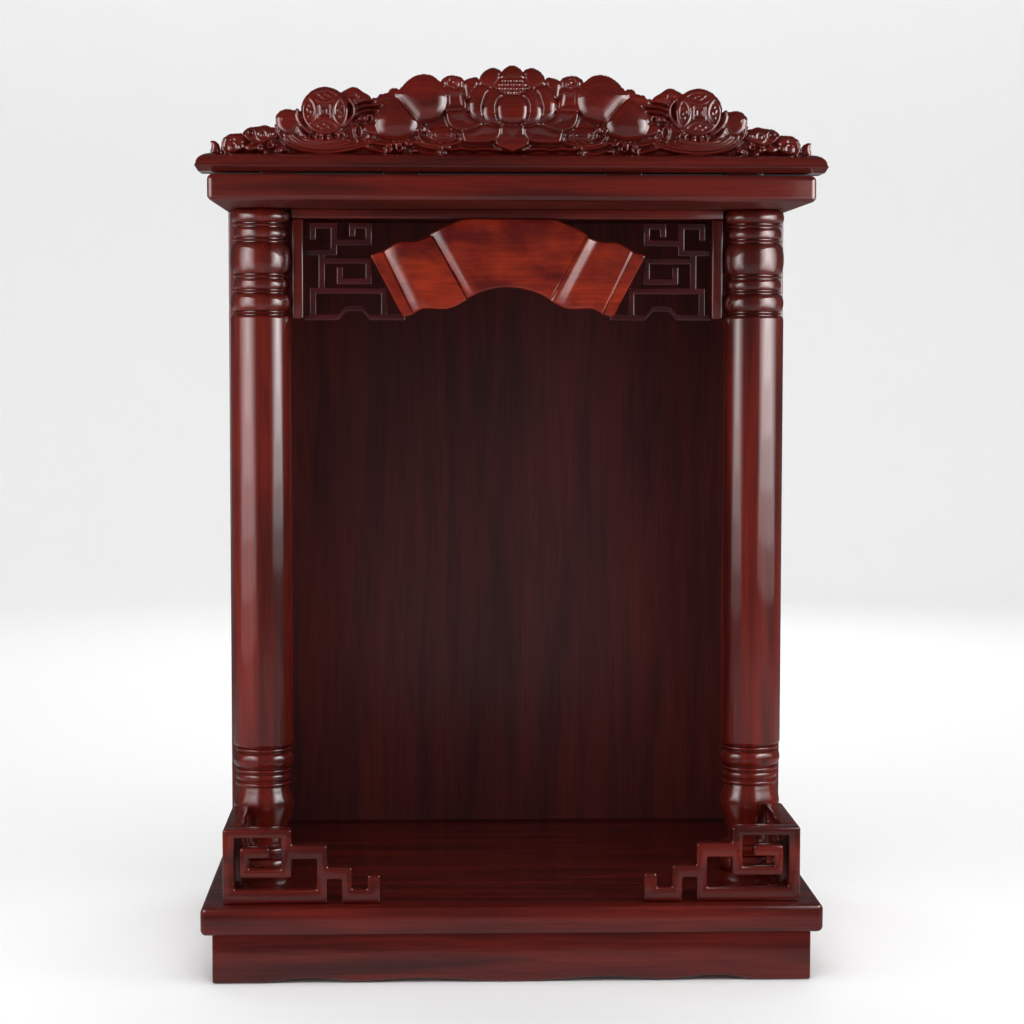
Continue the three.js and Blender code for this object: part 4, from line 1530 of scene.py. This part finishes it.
    def carve_leaves(self, work: Relief) -> None:
        """Carves the rosette, the leaves and the wave between the lotus and the peaches.

        Args:
            work: The relief that it is carved in.
        """
        work.form([(54.6, 52.4), (53, 57), (48, 59.3), (42, 59.1), (37.4, 56.6), (37, 51.6), (41, 48),
                   (49, 48)], 10.6, 3.0, 3.2)
        work.ridge(coil(46.0, 53.4, 4.8, 0.95, 150, -1, 0.9), 1.15, 12.6, 2.0)
        work.dome(44.0, 54.4, 1.3, 1.3, 0, 13.0, 2.2)
        work.dome(48.6, 55.4, 1.1, 1.1, 0, 12.8, 2.0)
        work.form([(51.6, 50.4), (51.4, 33.2), (43, 31.8), (34.6, 33), (35.4, 45), (37.6, 50.6), (44, 49.4)],
                  11.0, 3.4, 3.4, hollow=1.4, fall=4.0)
        work.ridge([(51, 33.6), (43, 31.9), (34.6, 33.4)], 1.2, 11.8, 2.6)
        # Wave: nested ovals, with a lip that runs out into a scroll
        for wide, tall, base in ((13.6, 6.0, 9.6), (10.2, 4.3, 10.6), (6.6, 2.6, 11.6)):
            ring = [(52.6 + wide * math.cos(a), 14.2 + tall * math.sin(a))
                    for a in np.linspace(0, 2 * math.pi, 12, endpoint=False)]
            work.form(ring, base, 3.0, 1.5, hollow=2.2, fall=1.6)
        work.ridge(coil(70.4, 18.2, 3.0, 1.2, 100, 1, 0.3), 1.15, 10.5, 3.8)
        work.ridge(coil(65.2, 18.6, 2.4, 1.0, 60, -1, 0.3), 1.0, 10.0, 3.4)
        work.ridge([(71.6, 13.6), (67, 8.6), (58, 7.0), (50, 6.6), (41, 8.6), (38.6, 12.2)], 1.4, 9.8, 3.2)
        work.ridge([(80, 7.2), (74, 8.6), (67, 5.4), (60, 4.4), (55.2, 3.2), (53, 0.9)], 1.7, 10.2, 4.0)
        work.ridge([(76, 3.2), (68, 1.2), (60, 0.4), (54, 0.4)], 1.3, 9.8, 3.4)
        work.ridge([(0, 3.4), (6, 2.6), (14, 3.6), (22, 4.4), (30, 3.2), (38, 4.4), (46, 3.6), (53, 5.0)],
                   1.3, 9.6, 3.2)

    def carve_brush(self, work: Relief) -> None:
        """Carves the cloud, blades and curls between the peaches and the coin.

        Args:
            work: The relief that it is carved in.
        """
        work.form([(131, 44), (129, 47.2), (123.4, 50), (120.6, 50.5), (117.4, 49.4), (113.5, 46.6),
                   (109.2, 44.2), (108, 41.6), (114, 38.4), (124, 37)], 10.2, 3.2, 3.4)
        work.ridge(coil(120.8, 43.6, 3.4, 1.0, 100, 1, 0.5), 1.1, 12.2, 2.0)
        work.dome(117.6, 43.0, 1.3, 1.3, 0, 12.6, 2.0)
        work.form([(106.4, 42.2), (103.5, 42.3), (101.1, 44.9), (97.7, 45.5), (94.6, 46.6), (92.8, 49.2),
                   (88, 49.6), (86, 45), (93, 38), (104, 37)], 9.8, 3.0, 2.6)
        for lift, reach in ((0.0, 93.0), (3.0, 97.0), (6.0, 100.0), (9.0, 103.0)):
            work.ridge([(121.4 - lift * 0.2, 36.6 - lift * 1.35), (114, 40.0 - lift * 1.3),
                        (106, 40.8 - lift * 1.3), (reach, 42.4 - lift * 1.5)], 1.2, 10.2, 3.0)
        for across, up in ((115.2, 26.5), (111.5, 26.1), (106.2, 26.1)):
            work.ridge(coil(across, up, 1.7, 1.0, 60, 1, 0.4), 0.9, 10.6, 3.6)
        work.form([(113.4, 16), (104.6, 13.2), (100, 16.4), (103.6, 21.4), (108.6, 23.2), (113.6, 21)],
                  10.0, 3.8, 3.2)
        work.form([(120.8, 16.4), (120.2, 20.4), (117.4, 22.2), (114.4, 20.2), (113.6, 15.4), (115.4, 11.6),
                   (118.8, 11.4)], 11.6, 4.2, 1.7, hollow=4.2, fall=1.6)
        work.dome(111.0, 13.4, 1.4, 1.4, 0, 10.4, 3.2)
        work.ridge([(112, 11.4), (105, 8.2), (97, 7.0), (88, 8.0), (79, 9.6)], 1.3, 9.8, 3.2)
        work.ridge(coil(94.4, 3.4, 2.8, 1.1, 120, 1, 0.4), 1.2, 10.4, 3.8)
        work.ridge([(112, 5.0), (106, 3.4), (100, 1.6), (96, 0.6)], 1.4, 9.8, 3.2)
        work.ridge(coil(85.6, 4.6, 3.2, 1.0, 60, -1, 0.4), 1.2, 10.0, 3.6)
        work.dome(77.4, 6.6, 1.7, 1.5, 0, 11.0, 3.4)
        work.dome(74.9, 2.0, 1.7, 1.5, 0, 11.0, 3.2)

    def carve_ingot(self, work: Relief) -> None:
        """Carves the boat-shaped ingot with its ridges, and the coin that stands in it.

        Args:
            work: The relief that it is carved in.
        """
        work.form([(180.3, 22), (178, 14), (172.8, 7.8), (166, 3.0), (157, 0.2), (143, -1.4), (130, 0.2),
                   (120, 2.6), (110, 6.0), (104.4, 9.6), (106, 13), (122, 24), (150, 28), (172, 26)], 9.6,
                  1.6, 2.0, over=False)
        ridges = (
            [(180.0, 21.0), (177.8, 14.5), (173.9, 9.7), (167.1, 4.6), (157.4, 1.8), (142.9, 0.6),
             (128.8, 1.9), (118.0, 4.2), (107.0, 8.2)],
            [(176.6, 19.6), (172.0, 11.8), (166.1, 7.5), (157.4, 4.4), (142.9, 3.1), (128.8, 4.4),
             (118.4, 6.9), (110.0, 9.8)],
            [(173.0, 17.6), (167.1, 11.0), (159.8, 7.2), (150.1, 5.4), (138.0, 5.4), (128.8, 6.8),
             (119.6, 9.6)],
            [(169.4, 16.4), (165.0, 12.2), (159.0, 9.0), (152.0, 7.6), (143.0, 7.4), (134.0, 8.2),
             (125.0, 10.6)],
            [(166.0, 17.2), (161.0, 13.0), (154.5, 10.0), (147.7, 9.2), (138.0, 9.6), (130.0, 12.0)],
        )
        for i, line in enumerate(ridges):
            work.ridge(line, 1.2, 10.4 + 0.5 * i, 3.0)
        work.form([(180.4, 25.1), (180.0, 28), (177.9, 31), (173.9, 33.1), (169.5, 33.2), (166.1, 32.6),
                   (162.4, 32.4), (160, 26), (163.4, 18.6), (168.6, 13.6), (174, 14.4), (178.8, 19)],
                  11.4, 4.2, 5.0)
        work.ridge([(178.6, 19.6), (177.6, 14.2), (174.4, 11.0)], 1.3, 11.6, 3.0)
        work.dome(174.4, 25.6, 1.2, 2.2, 0, 14.6, 1.6)
        work.dome(173.6, 20.6, 1.1, 1.8, 0, 14.2, 1.4)
        work.ridge([(162.8, 19.6), (160.6, 15.6), (158.2, 13.2)], 1.5, 13.4, 3.2)
        work.dome(162.7, 16.9, 2.0, 2.4, 30, 13.0, 2.6)
        work.ridge([(163.6, 32.4), (163.0, 26.4), (159.6, 20.2), (153.6, 15.4)], 1.5, 13.2, 3.6)
        work.ridge([(161.0, 22.8), (157.6, 18.2), (154.6, 15.6)], 1.2, 13.8, 3.0)
        work.ridge(coil(147.7, 12.0, 3.1, 1.1, 200, -1, 0.35), 1.05, 12.6, 2.8)
        work.dome(139.0, 11.8, 3.0, 1.9, 0, 12.4, 2.6)
        work.ridge(coil(130.7, 13.8, 3.6, 1.2, 20, 1, 0.35), 1.15, 12.4, 3.0)
        work.ridge([(155.0, 12.6), (152.0, 9.9), (144.0, 8.4), (137.0, 9.0)], 1.1, 12.4, 2.4)
        work.ridge([(123.9, 41.0), (120.6, 35.7), (121.3, 29.0), (125.3, 23.2), (131.2, 18.8)], 1.7, 12.0,
                   4.0)
        self.carve_coin(work)

    def carve_coin(self, work: Relief) -> None:
        """Carves the coin: a rim, a square opening, four lens-shaped fields and short strokes in them.

        Args:
            work: The relief that it is carved in.
        """
        across, up, radius = 142.6, 31.8, 18.4
        face, flank, edge, rim_width = 15.6, 2.6, 11.8, 3.4
        field_depth, pit_depth, half_square = 0.8, 1.6, 3.9
        x, z = work.local(across, up)
        far = np.hypot(x, z)
        dome = 1.4 * np.sqrt(np.clip(1 - (far / radius) ** 2, 0, 1))
        slope = np.sqrt(1 - (1 - np.clip((radius - far) / flank, 0, 1)) ** 2)
        work.edge = np.minimum(work.edge, far - radius)
        work.height = np.where(far < radius, edge + (face - edge) * slope + dome, work.height)
        inside = far < radius - rim_width
        level = face + dome
        work.height = np.where(inside, level - field_depth, work.height)

        def stroke(distance: np.ndarray, half_width: float, stand: float) -> None:
            """Raises a fine rounded line on the coin's face.

            Args:
                distance: Distance from the line.
                half_width: Half its width.
                stand: Its height over the sunk field.
            """
            swell = np.sqrt(np.clip(1 - (distance / half_width) ** 2, 0, 1))
            line = level - field_depth + stand * swell
            here = inside & (distance < half_width)
            work.height = np.where(here, np.maximum(work.height, line), work.height)

        for turn in range(4):
            a = math.radians(90 * turn)
            u, v = x * math.cos(a) + z * math.sin(a), -x * math.sin(a) + z * math.cos(a)
            # A lens-shaped arc, a side of the square, and slanted strokes that are no letters
            level_side = turn % 2 == 0
            stroke(np.abs(np.hypot(u - 19.4, v) - 12.6), 0.85, 1.5 if level_side else 0.8)
            from_square = np.hypot(u - 4.7, np.clip(np.abs(v) - 4.7, 0, 9))
            stroke(from_square, 0.75, 1.4 if level_side else 0.6)
            for dv, du, tilt in ((-3.6, 12.0, 0.6), (-0.6, 10.0, 0.1), (1.2, 12.8, -0.4), (4.0, 11.4, 0.2)):
                stroke(np.hypot((u - du) + tilt * (v - dv), (v - dv) * 0.38), 0.75, 1.1)
        square = (np.abs(x) < half_square) & (np.abs(z) < half_square)
        work.height = np.where(square, level - pit_depth, work.height)
        for dx in (-2.0, 2.0):
            bar = np.hypot(x - dx, np.clip(np.abs(z) - 1.6, 0, 9))
            swell = np.sqrt(np.clip(1 - (bar / 0.7) ** 2, 0, 1))
            work.height = np.where(square & (bar < 0.7), level - pit_depth + swell, work.height)

    def carve_ends(self, work: Relief) -> None:
        """Carves the scrolls that run out to the ends of the board.

        Args:
            work: The relief that it is carved in.
        """
        work.form([(205.4, 14.6), (203.3, 17.8), (200.6, 19.4), (197.1, 20), (193.6, 20.3), (189.7, 21.2),
                   (186.4, 21), (183.8, 19.8), (181.2, 19.2), (179.4, 14), (184, 9), (194.6, 7.6), (202, 10)],
                  10.6, 2.8, 3.4)
        work.ridge(coil(198.4, 15.0, 3.3, 1.0, 90, 1, 0.95), 1.2, 12.2, 2.4)
        work.groove([(198.4, 14.6), (198.4, 15.4)], 1.9, 1.6)
        work.ridge(coil(190.4, 13.9, 4.0, 1.0, 90, 1, 0.95), 1.3, 12.4, 2.4)
        work.dome(190.2, 13.6, 1.7, 1.6, 0, 12.2, 2.8)
        work.ridge([(203.4, 14.0), (200.6, 10.4), (194.5, 8.4), (189.7, 8.9), (184.5, 10.8), (180.1, 12.6)],
                   1.25, 12.0, 3.0)
        work.dome(183.4, 14.6, 1.3, 1.5, 0, 13.0, 2.0)
        work.dome(199.2, 4.2, 5.4, 3.4, 0, 10.6, 3.4, 2.4)
        work.ridge([(196, 8.4), (192, 6.6), (188.6, 7.2)], 1.0, 10.6, 2.8)
        for across, up, radius, start, way in ((184.4, 6.3, 2.9, 120, 1), (191.4, 3.8, 2.2, 40, -1),
                                               (187.3, 0.9, 1.8, 200, 1), (177.3, 2.4, 2.2, 100, 1),
                                               (173.8, 3.2, 1.7, 60, -1)):
            work.ridge(coil(across, up, radius, 1.1, start, way, 0.35), 1.0, 10.6, 3.4)
        work.form([(221.8, 1), (221.6, 5.6), (220.2, 9.9), (218.4, 12.6), (215.4, 14.4), (212, 15),
                   (208.5, 15), (205.6, 14.6), (203.6, 8), (206, 1.4), (214, -0.6)], 10.2, 3.4, 3.2)
        work.ridge([(218.8, 10.8), (220.3, 6.0), (219.2, 1.6), (216.4, -0.6)], 1.3, 12.0, 3.0)
        work.ridge(coil(212.6, 4.2, 4.2, 1.1, 70, 1, 0.35), 1.2, 12.6, 2.4)
        work.groove([(213.4, 8.8), (213.0, 9.4)], 1.7, 1.6)
        work.dome(204.5, 8.5, 1.5, 1.5, 0, 12.6, 2.0)
        work.form([(223.2, -0.4), (223.6, 5.6), (225.1, 8.4), (227.4, 9.5), (230, 9.1), (229.4, 7.4),
                   (229.2, 5), (229.9, 2), (230, -0.4)], 9.6, 3.4, 2.6)

    def build(self) -> bpy.types.Object:
        """Carves the crest.

        Returns:
            The piece.
        """
        place = Place.of(self.node)
        work = Relief(self.drawn_half_span, self.drawn_top, self.pitch)
        self.lay_ground(work)
        self.carve_brush(work)
        self.carve_ingot(work)
        self.carve_ends(work)
        self.carve_leaves(work)
        self.carve_peaches(work)
        self.carve_lotus(work)
        work.soften(3)
        work.height = np.clip(work.height, self.ground * self.thinnest, place.size[1])
        scale_x = place.size[0] / 2 / self.drawn_half_span
        scale_z = place.size[2] / self.drawn_top

        def put(rows: np.ndarray) -> np.ndarray:
            """Sets the carving in its place."""
            return np.column_stack((place.middle[0] + rows[:, 0] * scale_x, place.high[1] - rows[:, 1],
                                    place.low[2] + rows[:, 2] * scale_z))

        mesh = work.mesh(self.node, put)
        return finish_piece("crest_carved", mesh, [self.node], CARVING_LACQUER, Grain.ACROSS, crease=75.0)


# Room, lights and camera


@dataclass(frozen=True)
class Studio:
    """Pale paper, softboxes round the cabinet, and two windows that its lacquer mirrors.

    Lengths are in metres. The camera's turn is to the right, downwards and about its own axis, in degrees.
    """

    wall_radius: float = 3.6
    wall_height: float = 4.2
    sweep: float = 0.9
    half_turn: float = 112.0
    panel_gap: float = 0.004
    focal_length: float = 85.85
    camera_turn: tuple[float, float, float] = (2.007, 3.973, 0.075)
    camera_place: tuple[float, float, float] = (-0.0661, -2.0304, 0.4932)

    def paper(self) -> bpy.types.Material:
        """Matt white background paper, with a faint fibre and no shine.

        Returns:
            The material.
        """
        made = bpy.data.materials.new("matt_background_paper")
        made.use_nodes = True
        tree = made.node_tree
        tree.nodes.clear()
        place = add_node(tree, "ShaderNodeTexCoord").outputs["Object"]
        fibre = add_node(tree, "ShaderNodeTexNoise", {"Vector": place, "Scale": 400.0, "Detail": 2.0})
        bump = add_node(tree, "ShaderNodeBump", {"Height": fibre.outputs["Fac"], "Strength": 0.05,
                                                 "Distance": 0.0001})
        sheet = add_node(tree, "ShaderNodeBsdfPrincipled", {
            "Base Color": linear("ececec"), "Roughness": 0.85, "Normal": bump.outputs["Normal"]})
        add_node(tree, "ShaderNodeOutputMaterial", {"Surface": sheet.outputs["BSDF"]})
        return made

    def build_room(self) -> None:
        """Makes the floor and the wall as one sweep that opens towards the camera."""
        turns = np.radians(np.linspace(-self.half_turn, self.half_turn, 57))
        rows = [(self.wall_radius - self.sweep, -FLOOR_GAP)]
        rows += [(self.wall_radius - self.sweep + self.sweep * math.sin(a), self.sweep * (1 - math.cos(a)))
                 for a in np.radians(np.linspace(6, 90, 15))]
        rows.append((self.wall_radius, self.wall_height))
        count = len(turns)
        wall = [(r * math.sin(a), r * math.cos(a), z) for r, z in rows for a in turns]
        wall_faces = [[i * count + k + 1, i * count + k, (i + 1) * count + k, (i + 1) * count + k + 1]
                      for i in range(len(rows) - 1) for k in range(count - 1)]
        reach = self.wall_radius - self.sweep
        open_turns = np.radians(np.linspace(self.half_turn, 360 - self.half_turn, 30))
        ring = [(reach * math.sin(a), reach * math.cos(a), -FLOOR_GAP) for a in (*turns, *open_turns[1:-1])]
        floor_faces = [list(reversed(range(len(ring))))]
        paper = self.paper()
        for name, corners, faces in (("backdrop", wall, wall_faces), ("floor", ring, floor_faces)):
            mesh = bpy.data.meshes.new(name)
            mesh.from_pydata(corners, [], faces)
            mesh.shade_smooth()
            mesh.materials.append(paper)
            sheet = bpy.data.objects.new(name, mesh)
            sheet.visible_glossy = False
            bpy.context.scene.collection.objects.link(sheet)

    def add_light(self, name: str, place: tuple[float, float, float], aim: tuple[float, float, float],
                  size: Point, power: float, spread: float = 180.0) -> bpy.types.Object:
        """Adds one softbox.

        Args:
            name: Its name.
            place: Where it stands, in metres.
            aim: What it points at.
            size: Its width and height.
            power: Its power in watts.
            spread: How widely its grid lets the light out, in degrees.

        Returns:
            The light.
        """
        lamp = bpy.data.lights.new(name, "AREA")
        lamp.shape = "RECTANGLE"
        lamp.size, lamp.size_y = size
        lamp.energy = power
        lamp.spread = math.radians(spread)
        light = bpy.data.objects.new(name, lamp)
        light.location = place
        light.rotation_euler = (Vector(aim) - Vector(place)).to_track_quat("-Z", "Y").to_euler()
        light.visible_camera = False
        bpy.context.scene.collection.objects.link(light)
        return light

    def add_glow(self, name: str, place: tuple[float, float, float], aim: tuple[float, float, float],
                 size: Point, brightness: float) -> None:
        """Adds a soft window that the lacquer mirrors: nested panels that hang from one height.

        Args:
            name: Its name.
            place: The middle of its largest panel, in metres.
            aim: What it faces, at the same height.
            size: Width and height of the largest panel, which is its faint edge.
            brightness: Radiance where all the panels overlap.
        """
        shares = (0.22, 0.22, 0.20, 0.16, 0.12, 0.08)
        forwards = (Vector(aim) - Vector(place)).normalized()
        for i, share in enumerate(shares):
            part = (i + 1) / len(shares)
            wide, tall = size[0] * part, size[1] * (1 + 2 * part) / 3
            lift = Vector((0.0, 0.0, (size[1] - tall) / 2))
            spot = Vector(place) + lift - forwards * self.panel_gap * i
            panel = self.add_light(f"{name}_{i + 1}", spot, Vector(aim) + lift, (wide, tall),
                                   4.0 * wide * tall * brightness * share)
            panel.visible_diffuse = False

    def build_lights(self) -> None:
        """Sets the softboxes, what they look like in the lacquer, and the light on the paper."""
        for softbox in (
            ("softbox_left", (-0.74, -0.50, 0.40), (-0.24, 0.05, 0.38), (0.40, 0.80), 1.25, 75.0),
            ("softbox_right", (0.76, -0.40, 0.30), (0.25, 0.05, 0.26), (0.46, 0.70), 1.25, 75.0),
            ("softbox_front", (0.0, -1.6, 1.9), (0.0, 0.0, 0.25), (1.4, 1.0), 16.0),
            ("softbox_rear", (0.4, 2.1, 1.3), (0.0, 0.1, 0.35), (1.4, 1.0), 8.0),
        ):
            self.add_light(*softbox).visible_glossy = False
        self.add_glow("window_left", (-0.586, -0.39, 0.48), (-0.033, -0.068, 0.48), (0.74, 0.68), 5.4)
        self.add_glow("window_right", (0.558, -0.363, 0.52), (0.03, -0.077, 0.52), (0.77, 0.60), 9.4)
        paper_lights = (self.add_light("overhead", (0.0, -0.9, 2.4), (0.0, -0.9, 0.0), (2.6, 1.8), 43.0),
                        self.add_light("wall_wash", (0.0, 1.4, 3.2), (0.0, 3.4, 0.8), (3.4, 0.8), 70.0))
        lit = bpy.data.collections.new("paper")
        for name in ("backdrop", "floor"):
            lit.objects.link(bpy.data.objects[name])
        for light in paper_lights:
            light.light_linking.receiver_collection = lit

    def build_surroundings(self) -> None:
        """Makes the room: dim all round, and pale below, where the table lies."""
        world = bpy.data.worlds.new("studio")
        world.use_nodes = True
        tree = world.node_tree
        way = add_node(tree, "ShaderNodeTexCoord").outputs["Generated"]
        height = add_node(tree, "ShaderNodeSeparateXYZ", {"Vector": way}).outputs["Z"]
        share = add_node(tree, "ShaderNodeMapRange", {
            "Value": height, "From Min": -0.22, "From Max": -0.15}, interpolation_type="SMOOTHSTEP")
        tone = add_node(tree, "ShaderNodeMix", data_type="RGBA", blend_type="MIX")
        tree.links.new(share.outputs["Result"], tone.inputs["Factor"])
        tone.inputs["A"].default_value = linear("a0a0a2")
        tone.inputs["B"].default_value = linear("4c4c4e")
        tree.links.new(tone.outputs["Result"], tree.nodes["Background"].inputs["Color"])
        bpy.context.scene.world = world

    def build_camera(self) -> None:
        """Sets the camera where the photograph was taken from."""
        lens = bpy.data.cameras.new("camera")
        lens.sensor_fit = "HORIZONTAL"
        lens.sensor_width = 36.0
        lens.lens = self.focal_length
        camera = bpy.data.objects.new("camera", lens)
        yaw, pitch, roll = (math.radians(v) for v in self.camera_turn)
        ahead = Vector((math.sin(yaw) * math.cos(pitch), math.cos(yaw) * math.cos(pitch), -math.sin(pitch)))
        right = Vector((math.cos(yaw), -math.sin(yaw), 0.0))
        above = right.cross(ahead)
        turned_right = math.cos(roll) * right + math.sin(roll) * above
        turned_above = math.cos(roll) * above - math.sin(roll) * right
        axes = Matrix((turned_right, turned_above, -ahead)).transposed()
        camera.matrix_world = Matrix.Translation(self.camera_place) @ axes.to_4x4()
        bpy.context.scene.collection.objects.link(camera)
        bpy.context.scene.camera = camera

    def build(self) -> None:
        """Makes the room, the lights and the camera."""
        self.build_camera()
        self.build_room()
        self.build_lights()
        self.build_surroundings()
        settings = bpy.context.scene.view_settings
        settings.view_transform = "Standard"
        settings.look = "None"


@dataclass(frozen=True)
class Cabinet:
    """The whole cabinet, sub-assembly by sub-assembly."""

    def build(self) -> None:
        """Makes every piece."""
        Board("base_board", Grain.ACROSS, easing=4.4).build()
        for side in ("front", "back", "left", "right"):
            PlinthBoard(f"plinth_{side}").build()
        Board("side_panel_left", Grain.UPRIGHT).build()
        Board("side_panel_right", Grain.UPRIGHT).build()
        Board("back_panel", Grain.UPRIGHT, finish=INNER_LACQUER).build()
        Board("crown_board", Grain.ACROSS, easing=4.4, plain_underside=True).build()
        Column("column_left").build()
        Column("column_right").build()
        Board("frieze_rail", Grain.ACROSS, easing=0.9).build()
        Board("frieze_stile_left", Grain.UPRIGHT, easing=1.5).build()
        Board("frieze_stile_right", Grain.UPRIGHT, easing=1.5).build()
        for side in (-1, 1):
            Fretwork(side).build()
            Fence(side).build()
        FanPlaque().build()
        for number in range(1, 5):
            Board(f"crest_block_{number}", Grain.ACROSS, easing=0.4).build()
        MouldedPlank().build()
        CrestCarving().build()


def main() -> None:
    """Loads the frame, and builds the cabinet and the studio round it."""
    logging.basicConfig(level=logging.INFO, format="%(name)s: %(message)s")
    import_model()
    Cabinet().build()
    Studio().build()
    bpy.context.view_layer.update()


if __name__ == "__main__":
    main()
